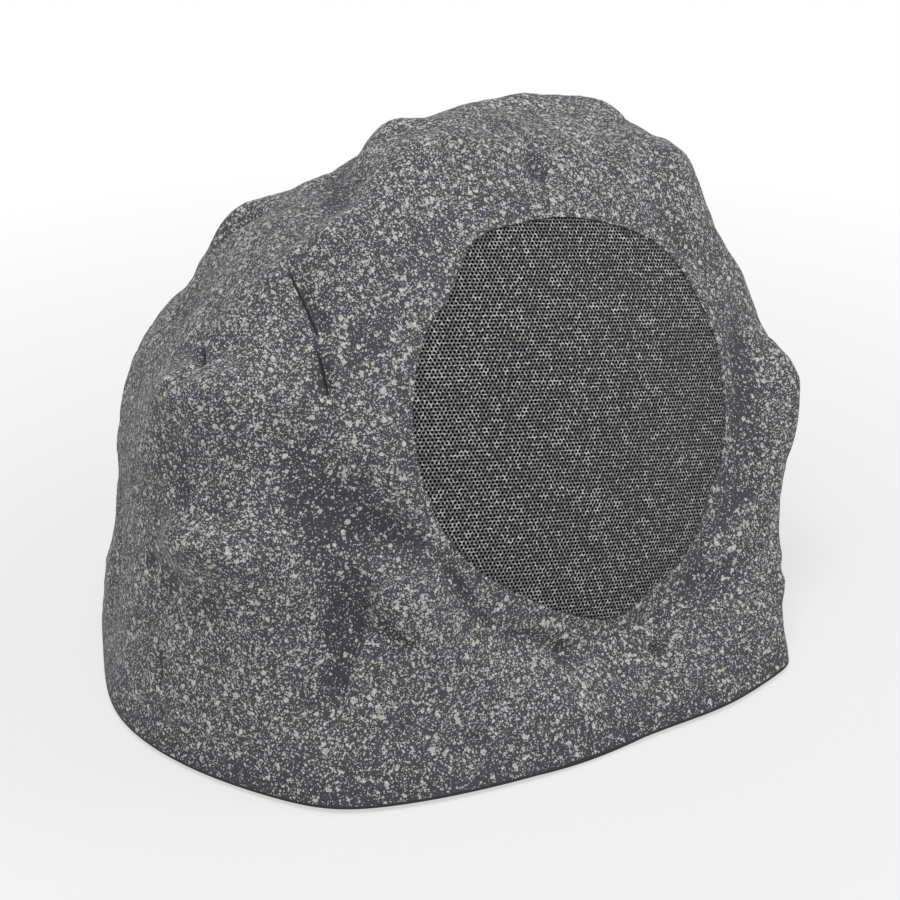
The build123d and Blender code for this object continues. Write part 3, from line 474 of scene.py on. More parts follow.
class Graph:
    """The nodes of a material or of the world."""

    def __init__(self, owner: Material | World, output: str) -> None:
        """Starts an empty graph with its output.

        Args:
            owner: What the nodes belong to.
            output: Blender's name of the output node's type.
        """
        owner.use_nodes = True
        self.owner = owner
        self.tree = owner.node_tree
        self.tree.nodes.clear()
        self.output = self.tree.nodes.new(output)

    @classmethod
    def of_material(cls, name: str) -> "Graph":
        """Graph of a new material."""
        return cls(bpy.data.materials.new(name), "ShaderNodeOutputMaterial")

    def node(self, kind: str, settings: dict | None = None, inputs: dict | None = None) -> Node:
        """Adds a node.

        Args:
            kind: Blender's name of the node's type.
            settings: Properties that are set first.
            inputs: Values or links of its sockets, by name or number.

        Returns:
            The node.
        """
        made = self.tree.nodes.new(kind)
        for key, value in (settings or {}).items():
            setattr(made, key, value)
        for key, value in (inputs or {}).items():
            socket = made.inputs[key]
            if isinstance(value, Value):
                self.tree.links.new(value.socket, socket)
            elif isinstance(value, NodeSocket):
                self.tree.links.new(value, socket)
            elif socket.type == "RGBA":
                socket.default_value = (*value, 1.0)
            else:
                socket.default_value = value
        return made

    def value(self, node: Node, output: Any = 0) -> Value:
        """One of a node's outputs as a value."""
        return Value(self, node.outputs[output])

    def blend(self, factor: Any, first: Any, second: Any) -> NodeSocket:
        """Colour from the first to the second as the factor goes from 0 to 1."""
        node = self.node("ShaderNodeMix", {"data_type": "RGBA"}, {0: factor, 6: first, 7: second})
        return node.outputs[2]

    def mesh_value(self, name: str) -> Value:
        """A value that the mesh stores under a name."""
        return self.value(self.node("ShaderNodeAttribute", {"attribute_name": name}), "Fac")

    def height_of(self, vector: NodeSocket) -> Value:
        """The upright part of a vector."""
        return self.value(self.node("ShaderNodeSeparateXYZ", {}, {0: vector}), "Z")

    def place(self) -> NodeSocket:
        """Position on the object, in metres."""
        return self.node("ShaderNodeTexCoord").outputs["Object"]

    def noise(self, scale: float, detail: float = 2.0, roughness: float = 0.5) -> Value:
        """Cloudy noise from 0 to 1, with scale in waves per metre."""
        inputs = {"Scale": scale, "Detail": detail, "Roughness": roughness, "Vector": self.place()}
        return self.value(self.node("ShaderNodeTexNoise", {}, inputs))

    def bump(self, height: Value, depth: float) -> NodeSocket:
        """Normal from a height, where 1 stands depth metres high."""
        inputs = {"Height": height, "Distance": depth, "Strength": 1.0}
        return self.node("ShaderNodeBump", {}, inputs).outputs[0]

    def seen(self) -> Value:
        """Tells rays that are looked along from light on other things.

        Returns:
            1 for rays from the camera, in a mirror or through glass, and 0 for the rest.
        """
        path = self.node("ShaderNodeLightPath")
        kinds = ("Is Camera Ray", "Is Glossy Ray", "Is Transmission Ray")
        return reduce(Value.or_more, [self.value(path, kind) for kind in kinds])

    def mixed(self, factor: Any, first: Node, second: Node) -> Node:
        """Shader from the first to the second as the factor goes from 0 to 1."""
        inputs = {0: factor, 1: first.outputs[0], 2: second.outputs[0]}
        return self.node("ShaderNodeMixShader", {}, inputs)

    def show(self, shader: Node) -> Material | World:
        """Ends the graph in a shader and gives back what it belongs to."""
        self.tree.links.new(shader.outputs[0], self.output.inputs[0])
        return self.owner

    def surface(self, **inputs: Any) -> Material:
        """Ends the graph in a Principled shader; underscores stand for spaces in socket names."""
        named = {key.replace("_", " "): value for key, value in inputs.items()}
        return self.show(self.node("ShaderNodeBsdfPrincipled", {}, named))


@dataclass(frozen=True)
class Fleck:
    """One size of paint fleck: spacing, largest radius as a share of it, share shown, shift."""

    spacing: float
    largest: float
    share: float
    shift: float


@dataclass(frozen=True)
class SplatterPaint:
    """Dark stone paint with pale flecks thrown over it, with painted light and shade: more flecks on
    upward faces, and on the rock painted shade in hollows, along the foot and in cracks.
    """

    name: str = "stone_splatter"
    ground: Colour = (0.040, 0.039, 0.050)
    ground_pale: Colour = (0.105, 0.103, 0.120)
    ground_in_shade: Colour = (0.022, 0.022, 0.026)
    fleck_warm: Colour = (0.76, 0.765, 0.68)
    fleck_cool: Colour = (0.76, 0.77, 0.79)
    fleck_dull: Colour = (0.32, 0.323, 0.315)
    # Painted shade: colour of the dark line drawn along each crack for the shadow in its groove.
    crack: Colour = (0.006, 0.006, 0.007)
    crack_shade_width: float = 0.8
    crack_shade_strength: float = 1.3
    roughness: float = 0.78
    fleck_roughness: float = 0.12
    cover_scale: float = 40.0
    cover_least: float = 0.65
    cover_swing: float = 0.7
    upward_fleck_highlight: float = 0.06
    sparse_paint_and_shade_strength: float = 0.42
    hollow_shade_darkening: float = 0.25
    dark_foot_band_height: float = 0.0042
    dark_foot_band_blur: float = 0.0005
    grain_scale: float = 900.0
    grain_range: Pair = (0.4, 0.65)
    tone_scale: float = 700.0
    tone_range: Pair = (0.25, 2 / 3)
    tint_scale: float = 160.0
    tint_range: Pair = (0.375, 0.625)
    bump_scale: float = 240.0
    bump_depth: float = 0.0005
    fleck_height: float = 0.3
    ragged_scale: float = 520.0
    ragged_reach: float = 1.1
    fleck_least: float = 0.4
    share_blur: float = 0.05
    edge_sharpness: float = 18.0
    edge_level: float = 0.2
    flecks: tuple[Fleck, ...] = (
        Fleck(0.0035, 0.52, 0.40, 0.0),
        Fleck(0.0017, 0.55, 0.50, 3.7),
        Fleck(0.00095, 0.55, 0.70, 7.3),
    )

    def material(self, sparse_paint_and_shade: str | None = None, cracks: tuple[str, str] | None = None) -> Material:
        """Builds the paint.

        Args:
            sparse_paint_and_shade: Name of a mesh value. Where it is positive the flecks thin out,
                partly sparser splatter and partly painted shade, and the ground darkens as painted
                shade. Where it is negative, on ridges, the extra flecks are a painted highlight.
            cracks: Names of the mesh values for the distance to a crack and for how strongly the
                painted shade along it shows.

        Returns:
            The material.
        """
        g = Graph.of_material(self.name if sparse_paint_and_shade is None else self.name + "_worn")
        # Painted top light: faces that look up get more flecks, so they read lighter.
        upward = g.height_of(g.node("ShaderNodeTexCoord").outputs["Normal"])
        patches = self.cover_least + self.cover_swing * g.noise(self.cover_scale, 3.0, 0.6)
        cover = patches * (1.0 + self.upward_fleck_highlight * upward)
        grains = g.noise(self.grain_scale, 3.0, 0.7).ramp(*self.grain_range)
        ground = g.blend(grains, self.ground, self.ground_pale)
        if sparse_paint_and_shade is not None:
            # Painted shade: hollows and the foot get fewer flecks and a darker ground, and ridges get
            # more flecks as a painted highlight. Part of the thinning in hollows is sparser splatter.
            hollow = g.mesh_value(sparse_paint_and_shade)
            cover = cover * (1 - self.sparse_paint_and_shade_strength * hollow)
            ground = g.blend((hollow * self.hollow_shade_darkening).clamped(), ground, self.ground_in_shade)
        inputs = {"Vector": g.place(), "Scale": self.ragged_scale, "Detail": 2.0}
        ragged = g.node("ShaderNodeTexNoise", {}, inputs).outputs["Color"]
        layers = [self._layer(g, fleck, cover, ragged) for fleck in self.flecks]
        mask = reduce(Value.or_more, layers)
        tint = g.noise(self.tint_scale).ramp(*self.tint_range)
        tone = g.noise(self.tone_scale).ramp(*self.tone_range)
        bright = g.blend(tint, self.fleck_warm, self.fleck_cool)
        pale = g.blend(tone, self.fleck_dull, bright)
        colour = g.blend(mask, ground, pale)
        if sparse_paint_and_shade is not None:
            # Painted contact shade: below the band height the shell takes the shaded ground colour,
            # giving a dark line where it meets the floor.
            painted = g.height_of(g.place()).ramp(self.dark_foot_band_height, self.dark_foot_band_height + self.dark_foot_band_blur)
            colour = g.blend(painted, self.ground_in_shade, colour)
        if cracks is not None:
            # Painted shade: a dark line along each crack stands in for the shadow in its groove.
            side, crack_shade_level = (g.mesh_value(name) for name in cracks)
            line = (crack_shade_level * self.crack_shade_strength - side * side / self.crack_shade_width**2).clamped()
            colour = g.blend(line, colour, self.crack)
        grain = g.noise(self.bump_scale, 4.0, 0.6) + mask * self.fleck_height
        return g.surface(
            Base_Color=colour,
            Roughness=self.roughness + self.fleck_roughness * mask,
            Normal=g.bump(grain, self.bump_depth),
        )

    def _layer(self, g: Graph, fleck: Fleck, cover: Value, ragged: NodeSocket) -> Value:
        """One size of flecks, 1 inside them.

        Args:
            g: The material's nodes.
            fleck: Size and share of the flecks.
            cover: How thickly they lie over the surface.
            ragged: Noise that breaks up their outline.

        Returns:
            The layer's mask.
        """
        shift = g.node(
            "ShaderNodeVectorMath",
            {"operation": "MULTIPLY_ADD"},
            {0: ragged, 1: (self.ragged_reach * fleck.spacing,) * 3, 2: g.place()},
        )
        moved = g.node(
            "ShaderNodeVectorMath", {"operation": "ADD"}, {0: shift.outputs[0], 1: (fleck.shift,) * 3}
        )
        cells = g.node(
            "ShaderNodeTexVoronoi", {}, {"Vector": moved.outputs[0], "Scale": 1.0 / fleck.spacing}
        )
        parts = g.node("ShaderNodeSeparateColor", {}, {0: cells.outputs["Color"]})
        shown = (fleck.share * cover - g.value(parts, 0)).ramp(0.0, self.share_blur)
        size = self.fleck_least + (1 - self.fleck_least) * g.value(parts, 1)
        radius = fleck.largest * size * shown
        inside = radius - g.value(cells, "Distance")
        return (inside * self.edge_sharpness + self.edge_level).clamped()


@dataclass(frozen=True)
class Moulding:
    """Moulded, cast, painted or plated surface with a fine grain."""

    name: str
    colour: Colour
    roughness: float = 0.5
    metallic: float = 0.0
    grain_size: float = 0.0008
    grain_depth: float = 0.00004
    mottle: float = 0.15
    mottle_scale: float = 60.0
    roughness_swing: float = 0.16

    def material(self) -> Material:
        """Builds the finish.

        Returns:
            The material.
        """
        g = Graph.of_material(self.name)
        cloud = g.noise(self.mottle_scale, 4.0, 0.6)
        grain = g.noise(1.0 / self.grain_size, 3.0)
        darker = tuple(c * (1 - self.mottle) for c in self.colour)
        lighter = tuple(min(1.0, c * (1 + self.mottle)) for c in self.colour)
        return g.surface(
            Base_Color=g.blend(cloud, darker, lighter),
            Metallic=self.metallic,
            Roughness=self.roughness - self.roughness_swing / 2 + self.roughness_swing * cloud,
            Normal=g.bump(grain, self.grain_depth),
        )


@dataclass(frozen=True)
class Threads:
    """Threads or wires laid side by side, in one set or in two that cross."""

    name: str
    colour: Colour
    thread: float = 0.0006
    directions: str = "XZ"
    band_scale: float = 0.05
    waver: float = 0.4
    shade: float = 0.4
    roughness: float = 0.95
    polish: float = 0.1
    metallic: float = 0.0
    specular: float = 0.2
    depth: float = 0.0002

    def material(self) -> Material:
        """Builds the weave or the winding.

        Returns:
            The material.
        """
        g = Graph.of_material(self.name)
        scale = self.band_scale / self.thread
        inputs = {"Scale": scale, "Distortion": self.waver, "Detail": 1.0}
        waves = []
        for direction in self.directions:
            bands = {"wave_type": "BANDS", "bands_direction": direction}
            node = g.node("ShaderNodeTexWave", bands, {"Vector": g.place(), **inputs})
            waves.append(g.value(node, "Fac"))
        height = reduce(Value.or_more, waves)
        shaded = tuple(c * self.shade for c in self.colour)
        return g.surface(
            Base_Color=g.blend(height, shaded, self.colour),
            Metallic=self.metallic,
            Roughness=self.roughness - self.polish * height,
            Specular_IOR_Level=self.specular,
            Normal=g.bump(height, self.depth),
        )


def new_piece(name: str, mesh: Mesh, body: Body) -> Object:
    """Puts a mesh into the scene as a piece of the speaker.

    Args:
        name: The piece's name.
        mesh: Its mesh, in metres, in the speaker's frame.
        body: What it moves with.

    Returns:
        The object.
    """
    piece = bpy.data.objects.new(name, mesh)
    bpy.context.scene.collection.objects.link(piece)
    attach(piece, body.value)
    LOG.info("%s: %d faces", name, len(mesh.polygons))
    return piece


def get_points(mesh: Mesh) -> Array:
    """Reads a mesh's vertices.

    Args:
        mesh: The mesh.

    Returns:
        Their places, one a row.
    """
    flat = np.zeros(len(mesh.vertices) * 3)
    mesh.vertices.foreach_get("co", flat)
    return flat.reshape(-1, 3)


def cut_away(bm: BMesh, distance: Callable[[Array], Array]) -> list:
    """Trims a mesh along the line where a distance is 0 and drops the negative side.

    Args:
        bm: The mesh, in metres.
        distance: Signed distance for points in metres, one a row.

    Returns:
        The edges of the new opening.
    """
    snap = 0.2
    points = np.array([v.co for v in bm.verts])
    side = dict(zip(bm.verts, distance(points)))
    for edge in list(bm.edges):
        a, b = edge.verts
        if side[a] * side[b] >= 0:
            continue
        t = side[a] / (side[a] - side[b])
        if t < snap:
            a.co = a.co.lerp(b.co, t)
            side[a] = 0.0
        elif t > 1 - snap:
            b.co = a.co.lerp(b.co, t)
            side[b] = 0.0
    for edge in list(bm.edges):
        a, b = edge.verts
        if side[a] * side[b] < 0:
            made = bmesh.utils.edge_split(edge, a, side[a] / (side[a] - side[b]))[1]
            side[made] = 0.0
    seam = [v for v in bm.verts if side[v] == 0.0]
    bmesh.ops.connect_verts(bm, verts=seam)
    gone = []
    for face in bm.faces:
        sides = [side[v] for v in face.verts]
        if min(sides) < 0 or max(sides) == 0:
            gone.append(face)
    bmesh.ops.delete(bm, geom=gone, context="FACES")
    return [e for e in bm.edges if e.is_boundary and side[e.verts[0]] == 0 and side[e.verts[1]] == 0]


def draw_out(bm: BMesh, edges: list, move: Callable[[Vector], Vector]) -> None:
    """Sharpens an edge loop, extrudes it and moves what is new.

    Args:
        bm: The mesh.
        edges: The loop's edges.
        move: Gives a new vertex's place from its start.
    """
    for edge in edges:
        edge.smooth = False
    made = bmesh.ops.extrude_edge_only(bm, edges=edges)["geom"]
    for vertex in (g for g in made if isinstance(g, BMVert)):
        vertex.co = move(vertex.co)


def store(mesh: Mesh, name: str, values: Array) -> None:
    """Stores a value for each vertex under a name."""
    attribute = mesh.attributes.new(name, "FLOAT", "POINT")
    attribute.data.foreach_set("value", values.astype(np.float32))


@dataclass
class RockShell:
    """The moulded boulder with its grille mouth and its foot."""

    form: RockForm
    fineness: int = 8
    lowest: float = -0.02
    lean_in: Point = (-0.2, -0.28, 0.0)
    rough_waves: tuple[Pair, ...] = ((60.0, 1.9), (26.0, 1.2), (10.0, 0.6))
    rough_fractal: tuple[float, float, int] = (1.0, 2.0, 2)
    crag_wave: float = 42.0
    crag_height: float = 3.0
    crag_shift: float = 5.0
    crack_reach: float = 4.0
    crack_shade_values: tuple[str, str] = ("crack_side", "crack_shade")
    sparse_paint_and_shade_value: str = "sparse_paint_and_shade"
    sparse_paint_and_shade_scales: tuple[tuple[int, float], ...] = ((30, 2.5), (150, 7.0))
    sparse_paint_and_shade_range: Pair = (-0.6, 1.3)
    foot_shade_height: float = 20.0
    mouth_depth: float = 70.0

    def build(self, paint: SplatterPaint) -> Object:
        """Builds the shell.

        Args:
            paint: Its finish.

        Returns:
            The piece.
        """
        mesh = self._ball()
        look = get_points(mesh)
        reach, clear = self.form.reach(look)
        reach = reach + self._roughness(look * reach[:, None]) * clear
        mesh.vertices.foreach_set("co", (look * reach[:, None] * MM).ravel())
        self._mark_sparse_paint_and_shade(mesh, reach)
        self._mark_crack_shade(mesh, look, reach)
        self._open(mesh)
        mesh.materials.append(paint.material(self.sparse_paint_and_shade_value, self.crack_shade_values))
        piece = new_piece("rock_skin", mesh, Body.ENCLOSURE)
        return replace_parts(piece, "rock_shell")

    def _ball(self) -> Mesh:
        """Makes the upper half of a ball, divided more finely towards the front.

        Returns:
            A mesh whose vertices are directions.
        """
        bm = bmesh.new()
        bmesh.ops.create_icosphere(bm, subdivisions=self.fineness, radius=1.0)
        low = [v for v in bm.verts if v.co.z < self.lowest]
        bmesh.ops.delete(bm, geom=low, context="VERTS")
        for vertex in bm.verts:
            vertex.co = (vertex.co + Vector(self.lean_in)).normalized()
        mesh = bpy.data.meshes.new("rock_skin")
        bm.to_mesh(mesh)
        bm.free()
        return mesh

    def _roughness(self, skin: Array) -> Array:
        """Weathered unevenness of the rock.

        Args:
            skin: Points of its skin, one a row, in millimetres.

        Returns:
            Millimetres for each point.
        """
        rough = np.zeros(len(skin))
        for wave, height in self.rough_waves:
            rows = (skin / wave).tolist()
            rough += height * np.array([noise.fractal(row, *self.rough_fractal) for row in rows])
        rows = (skin / self.crag_wave + self.crag_shift).tolist()
        rough -= self.crag_height * np.abs([noise.noise(row) for row in rows])
        return rough + self.crag_height / 4

    def _mark_sparse_paint_and_shade(self, mesh: Mesh, reach: Array) -> None:
        """Stores where the flecks thin out and the ground darkens as painted shade: more in hollows
        and along the foot, less on ridges, where it adds flecks as a painted highlight.

        Args:
            mesh: The rock before it is cut open.
            reach: Distance from the origin to each vertex, in millimetres.
        """
        ends = np.zeros(len(mesh.edges) * 2, dtype=np.int32)
        mesh.edges.foreach_get("vertices", ends)
        a, b = ends.reshape(-1, 2).T
        count = len(reach)
        shared = np.bincount(a, minlength=count) + np.bincount(b, minlength=count)
        even = reach
        sparse_paint_and_shade = np.zeros(count)
        done = 0
        for passes, depth in self.sparse_paint_and_shade_scales:
            for _ in range(passes - done):
                even = (np.bincount(a, even[b], count) + np.bincount(b, even[a], count)) / shared
            done = passes
            sparse_paint_and_shade += (even - reach) / depth
        # Painted shade along the foot, next to the floor.
        low = get_points(mesh)[:, 2] / MM - self.form.rim_height
        sparse_paint_and_shade = np.maximum(np.clip(sparse_paint_and_shade, *self.sparse_paint_and_shade_range), np.exp(-((low / self.foot_shade_height) ** 2)))
        store(mesh, self.sparse_paint_and_shade_value, sparse_paint_and_shade)

    def _mark_crack_shade(self, mesh: Mesh, look: Array, reach: Array) -> None:
        """Stores the distance to the nearest crack, signed, in millimetres, and how strongly the
        painted shade along it shows there.

        Args:
            mesh: The rock before it is cut open.
            look: Unit vector of each vertex.
            reach: Distance from the origin to each vertex, in millimetres.
        """
        side = np.zeros(len(look))
        crack_shade_level = np.zeros(len(look))
        for crack in self.form.cracks:
            off, fade = crack.trace(look)
            off = off * reach
            near = fade * smooth_step(2.0 - np.abs(off) / self.crack_reach)
            side = np.where(near > crack_shade_level, off, side)
            crack_shade_level = np.maximum(near, crack_shade_level)
        for name, values in zip(self.crack_shade_values, (side, crack_shade_level)):
            store(mesh, name, values)

    def _open(self, mesh: Mesh) -> None:
        """Cuts the grille mouth and the foot, and gives both their walls.

        Args:
            mesh: The closed rock, which is changed.
        """
        seat = self.form.seat
        axis = Vector(seat.axis)

        def outside_mouth(points: Array) -> Array:
            """Distance outside the grille's mouth."""
            local = seat.to_local(points / MM)
            return np.where(local[:, 2] > -self.mouth_depth, seat.beyond(local, seat.fit), 1.0)

        bm = bmesh.new()
        bm.from_mesh(mesh)
        edges = cut_away(bm, outside_mouth)
        depth = seat.skirt_depth * MM
        draw_out(bm, edges, lambda p: p - axis * depth)
        rim = self.form.rim_height * MM
        edges = cut_away(bm, lambda points: points[:, 2] - rim)
        wall = self.form.wall * MM
        draw_out(bm, edges, lambda p: p - Vector((p.x, p.y, 0)).normalized() * wall)
        for face in bm.faces:
            face.smooth = True
        bm.to_mesh(mesh)
        bm.free()


@dataclass
class Grille:
    """Domed sheet with staggered hexagonal holes up to its edge, and a skirt."""

    seat: GrilleSeat
    pitch: float = 2.38
    hole_share: float = 0.71
    sheet: float = 0.6
    sink: float = 1.0
    roll: float = -13.0
    skirt_points: int = 240

    def build(self, paint: SplatterPaint, bare: Moulding) -> Object:
        """Builds the grille.

        Args:
            paint: Its finish.
            bare: Near-black finish of the holes' walls, painted shade inside the holes.

        Returns:
            The piece.
        """
        bm = self._perforated()
        cut_away(bm, lambda points: -self.seat.beyond(self.seat.to_local(points / MM)))
        self._add_skirt(bm)
        mesh = bpy.data.meshes.new("grille_sheet")
        bm.to_mesh(mesh)
        bm.free()
        mesh.materials.append(paint.material())
        mesh.materials.append(bare.material())
        piece = new_piece("grille_sheet", mesh, Body.ENCLOSURE)
        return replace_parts(piece, "grille")

    def _add_skirt(self, bm: BMesh) -> None:
        """Adds the plain band from the sheet's edge down to the ledge.

        Args:
            bm: The sheet.
        """
        x, y = self.seat.outline(self.skirt_points).T
        top = self.seat.dome_height(x, y, self.sink)
        foot = np.full(self.skirt_points, -self.seat.skirt_depth)
        rings = []
        for height in (top, foot):
            spots = self.seat.to_world(np.stack([x, y, height], axis=1)) * MM
            rings.append([bm.verts.new(spot) for spot in spots])
        for i in range(self.skirt_points):
            j = (i + 1) % self.skirt_points
            bm.faces.new((rings[0][i], rings[1][i], rings[1][j], rings[0][j]))

    def _perforated(self) -> BMesh:
        """Makes the sheet of holed hexagonal cells on the dome.

        Returns:
            The sheet, a little larger than the grille.
        """
        row_pitch = self.pitch * math.sqrt(3) / 2
        corner = self.pitch / math.sqrt(3)
        hole = corner * self.hole_share
        roll = math.radians(self.roll)
        turn = np.array([[math.cos(roll), -math.sin(roll)], [math.sin(roll), math.cos(roll)]])
        spokes = np.array([[math.sin(i * math.pi / 3), math.cos(i * math.pi / 3)] for i in range(6)])
        reach = math.ceil((self.seat.half_height + 4 * self.pitch) / row_pitch)
        flat: list[Point] = []
        known: dict[tuple[int, int], int] = {}
        faces: list[tuple[int, ...]] = []

        def corner_index(spot: Array) -> int:
            """Numbers the cells' shared corners.

            Args:
                spot: A corner's place.

            Returns:
                The corner's number.
            """
            key = (round(spot[0] * 100), round(spot[1] * 100))
            if key not in known:
                known[key] = len(flat)
                flat.append((spot[0], spot[1], 0.0))
            return known[key]

        for row in range(-reach, reach + 1):
            for column in range(-reach, reach + 1):
                spot = np.array([(column + (row % 2) / 2) * self.pitch, row * row_pitch])
                if self.seat.beyond((turn @ spot)[None, :])[0] > self.pitch:
                    continue
                outer = [corner_index(spot + corner * s) for s in spokes]
                front = len(flat)
                flat.extend((*(spot + hole * s), 0.0) for s in spokes)
                flat.extend((*(spot + hole * s), self.sheet) for s in spokes)
                for i in range(6):
                    j = (i + 1) % 6
                    faces.append((outer[i], front + i, front + j, outer[j]))
                    faces.append((front + i, front + 6 + i, front + 6 + j, front + j))
        local = np.array(flat)
        local[:, :2] = local[:, :2] @ turn.T
        local[:, 2] = self.seat.dome_height(local[:, 0], local[:, 1], self.sink) - local[:, 2]
        mesh = bpy.data.meshes.new("grille_cells")
        mesh.from_pydata((self.seat.to_world(local) * MM).tolist(), [], faces)
        mesh.polygons.foreach_set("material_index", np.tile([0, 1], len(faces) // 2))
        bm = bmesh.new()
        bm.from_mesh(mesh)
        bpy.data.meshes.remove(mesh)
        return bm


@dataclass
class GrilleCloth:
    """Acoustic cloth stretched behind the grille."""

    seat: GrilleSeat
    inset: float = 1.6
    sink: float = 2.0
    rings: int = 24
    spokes: int = 96

    def build(self, finish: Threads) -> Object:
        """Builds the cloth.

        Args:
            finish: Its weave.

        Returns:
            The piece.
        """
        rim = self.seat.outline(self.spokes, -self.inset)
        shares = np.arange(1, self.rings + 1) / self.rings
        flat = np.vstack([np.zeros((1, 2)), *(rim * share for share in shares)])
        height = self.seat.dome_height(flat[:, 0], flat[:, 1], self.sink)
        points = self.seat.to_world(np.column_stack([flat, height])) * MM
        faces: list[tuple[int, ...]] = []
        for spoke in range(self.spokes):
            after = (spoke + 1) % self.spokes
            faces.append((0, 1 + spoke, 1 + after))
            for ring in range(self.rings - 1):
                near = 1 + ring * self.spokes
                far = near + self.spokes
                faces.append((near + spoke, far + spoke, far + after, near + after))
        mesh = bpy.data.meshes.new("speaker_cloth")
        mesh.from_pydata(points.tolist(), [], faces)
        for face in mesh.polygons:
            face.use_smooth = True
        mesh.materials.append(finish.material())
        piece = new_piece("speaker_cloth", mesh, Body.ENCLOSURE)
        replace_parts(piece, "grille_cloth")
        return piece


@dataclass(frozen=True)
class CarriedParts:
    """Solids that keep their own shape and get a finish, and some of them softened edges."""

    finishes: tuple[tuple[Moulding | Threads, str], ...] = (
        (Moulding("black_plastic", (0.018, 0.018, 0.019), 0.55), "base_plate tweeter_bridge"),
        (Moulding("black_nylon", (0.016, 0.016, 0.017), 0.42), "gland_body gland_cap gland_locknut"),
        (
            Moulding("black_foam", (0.012, 0.012, 0.013), 0.95, grain_depth=0.0003),
            "base_gasket woofer_gasket",
        ),
        (Moulding("black_rubber", (0.016, 0.016, 0.016), 0.7), "woofer_surround gland_seal"),
        (
            Moulding("zinc_plate", (0.55, 0.55, 0.54), 0.32, 1.0),
            "base_screws woofer_screws bridge_screws",
        ),
        (Moulding("pole_steel", (0.42, 0.42, 0.43), 0.38, 1.0), "top_plate yoke tweeter_motor"),
        (Moulding("black_enamel", (0.015, 0.015, 0.016), 0.35), "woofer_basket"),
        (Moulding("black_film", (0.022, 0.022, 0.024), 0.5), "woofer_cone dust_cap"),
        (Moulding("aluminium_foil", (0.75, 0.75, 0.76), 0.3, 1.0), "coil_former"),
        (
            Threads(
                "copper_winding",
                (0.62, 0.25, 0.1),
                thread=0.0009,
                directions="Z",
                waver=0.3,
                shade=0.35,
                roughness=0.48,
                polish=0.2,
                metallic=0.9,
                specular=0.5,
            ),
            "voice_coil inductor",
        ),
        (Threads("treated_cotton", (0.42, 0.27, 0.1)), "spider"),
        (Moulding("ferrite", (0.045, 0.045, 0.048), 0.6), "magnet"),
        (Threads("coated_silk", (0.03, 0.03, 0.034), 0.0003), "tweeter_dome"),
        (Moulding("board_laminate", (0.03, 0.14, 0.05), 0.35), "crossover_board"),
        (Moulding("film_sleeve", (0.03, 0.04, 0.2), 0.2), "capacitors"),
        (Moulding("white_ceramic", (0.62, 0.6, 0.55), 0.6), "resistor"),
        (Moulding("green_terminal", (0.03, 0.2, 0.08), 0.4), "terminal_block"),
        (Moulding("brown_fibre", (0.2, 0.1, 0.045), 0.7), "woofer_tag"),
        (Moulding("red_sheath", (0.25, 0.02, 0.018), 0.4), "woofer_lead tweeter_lead"),
    )
    softened: tuple[tuple[str, float], ...] = (("gland_cap", 0.8), ("gland_body", 0.5))
    soft_angle: float = 40.0

    def dress(self) -> None:
        """Gives every part its material, and softens edges."""
        for finish, nodes in self.finishes:
            material = finish.material()
            for node in nodes.split():
                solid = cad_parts[node]
                solid.data.materials.clear()
                solid.data.materials.append(material)
                LOG.info("%s: %s", node, finish.name)
        for node, width in self.softened:
            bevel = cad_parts[node].modifiers.new("softened_edges", "BEVEL")
            bevel.width = width * MM
            bevel.segments = 2
            bevel.limit_method = "ANGLE"
            bevel.angle_limit = math.radians(self.soft_angle)


@dataclass(frozen=True)
class Lamp:
    """A square soft light: its place and side in metres, its power in watts."""

    name: str
    place: Point
    side: float
    power: float


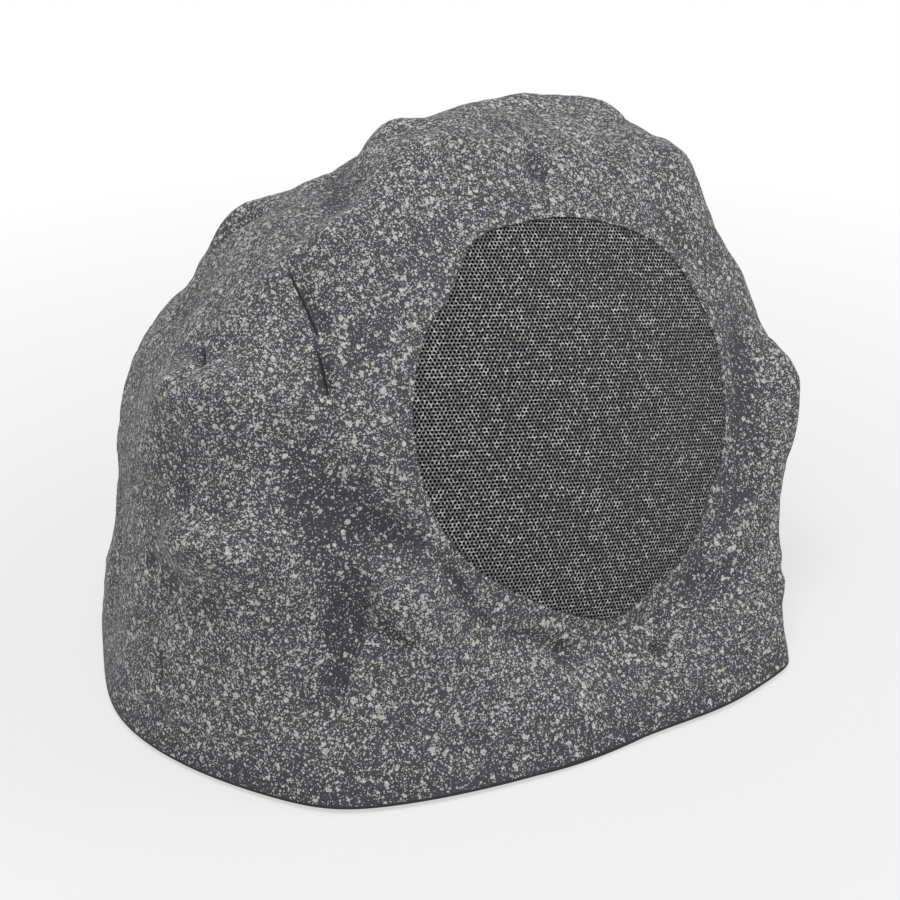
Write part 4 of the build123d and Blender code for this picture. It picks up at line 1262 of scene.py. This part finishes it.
@dataclass
class Studio:
    """Floor, soft lights and the camera at the viewer's place."""

    azimuth: float = -36.0
    elevation: float = 27.0
    eye: Point = (-0.8018, -1.0742, 0.8029)
    lens: float = 101.24
    sensor: float = 36.0
    aim: Point = (0.0, 0.0, 0.15)
    floor_size: float = 12.0
    floor_colour: Colour = (0.88, 0.88, 0.88)
    floor_white: float = 0.6
    fade_range: Pair = (0.3, 0.8)
    ambient: float = 0.368
    lamps: tuple[Lamp, ...] = (
        Lamp("key_light", (-0.75, -0.7, 2.7), 1.2, 34.0),
        Lamp("fill_light", (1.9, -1.1, 1.3), 1.4, 9.0),
    )

    def build(self) -> None:
        """Sets the stage."""
        self._camera()
        self._floor()
        self._world()
        for lamp in self.lamps:
            self._hang(lamp)
        bpy.context.scene.view_settings.view_transform = "Standard"

    def _camera(self) -> None:
        """Camera that looks along the photograph's line of sight."""
        data = bpy.data.cameras.new("camera")
        data.lens = self.lens
        data.sensor_width = self.sensor
        data.clip_end = 100.0
        camera = bpy.data.objects.new("camera", data)
        bpy.context.scene.collection.objects.link(camera)
        back = Vector(heading(self.azimuth, self.elevation))
        right = Vector(heading(self.azimuth + 90, 0.0))
        up = back.cross(right)
        turn = Matrix((right, up, back)).transposed()
        camera.matrix_world = Matrix.Translation(Vector(self.eye)) @ turn.to_4x4()
        bpy.context.scene.camera = camera

    def _floor(self) -> None:
        """Wide pale floor that fades to white away from the rock and keeps its shadow."""
        half = self.floor_size / 2
        corners = [(-half, -half, 0), (half, -half, 0), (half, half, 0), (-half, half, 0)]
        mesh = bpy.data.meshes.new("floor")
        mesh.from_pydata(corners, [], [(0, 1, 2, 3)])
        floor = bpy.data.objects.new("floor", mesh)
        bpy.context.scene.collection.objects.link(floor)
        g = Graph.of_material("pale_floor")
        lit = g.node("ShaderNodeBsdfDiffuse", {}, {"Color": self.floor_colour})
        white = g.node("ShaderNodeEmission", {}, {"Color": WHITE})
        away = g.node("ShaderNodeVectorMath", {"operation": "LENGTH"}, {0: g.place()})
        fade = g.value(away, "Value").ramp(*self.fade_range)
        share = self.floor_white + (1.0 - self.floor_white) * fade
        mesh.materials.append(g.show(g.mixed(g.seen() * share, lit, white)))

    def _world(self) -> None:
        """Soft light from all round, white to the camera."""
        g = Graph(bpy.data.worlds.new("studio"), "ShaderNodeOutputWorld")
        soft = g.node("ShaderNodeBackground", {}, {"Color": WHITE, "Strength": self.ambient})
        white = g.node("ShaderNodeBackground", {}, {"Color": WHITE})
        bpy.context.scene.world = g.show(g.mixed(g.seen(), soft, white))

    def _hang(self, lamp: Lamp) -> None:
        """Hangs up a light that looks at the rock.

        Args:
            lamp: The light.
        """
        data = bpy.data.lights.new(lamp.name, "AREA")
        data.size = lamp.side
        data.energy = lamp.power
        hung = bpy.data.objects.new(lamp.name, data)
        hung.location = lamp.place
        ray = Vector(self.aim) - Vector(lamp.place)
        hung.rotation_mode = "QUATERNION"
        hung.rotation_quaternion = ray.to_track_quat("-Z", "Y")
        bpy.context.scene.collection.objects.link(hung)


def main() -> None:
    """Builds the speaker piece by piece, then its studio."""
    logging.basicConfig(level=logging.INFO, format="%(message)s")
    seat = GrilleSeat()
    paint = SplatterPaint()
    RockShell(RockForm(seat)).build(paint)
    sheet_paint = SplatterPaint("grille_splatter", (0.12, 0.118, 0.132), (0.17, 0.167, 0.182))
    # The holes' walls are near black: painted shade inside the holes.
    Grille(seat).build(sheet_paint, Moulding("hole_shade_black", (0.003, 0.003, 0.003), 0.9))
    GrilleCloth(seat).build(Threads("black_speaker_cloth", (0.003, 0.003, 0.0035)))
    CarriedParts().dress()
    Studio().build()


if __name__ == "__main__":
    main()
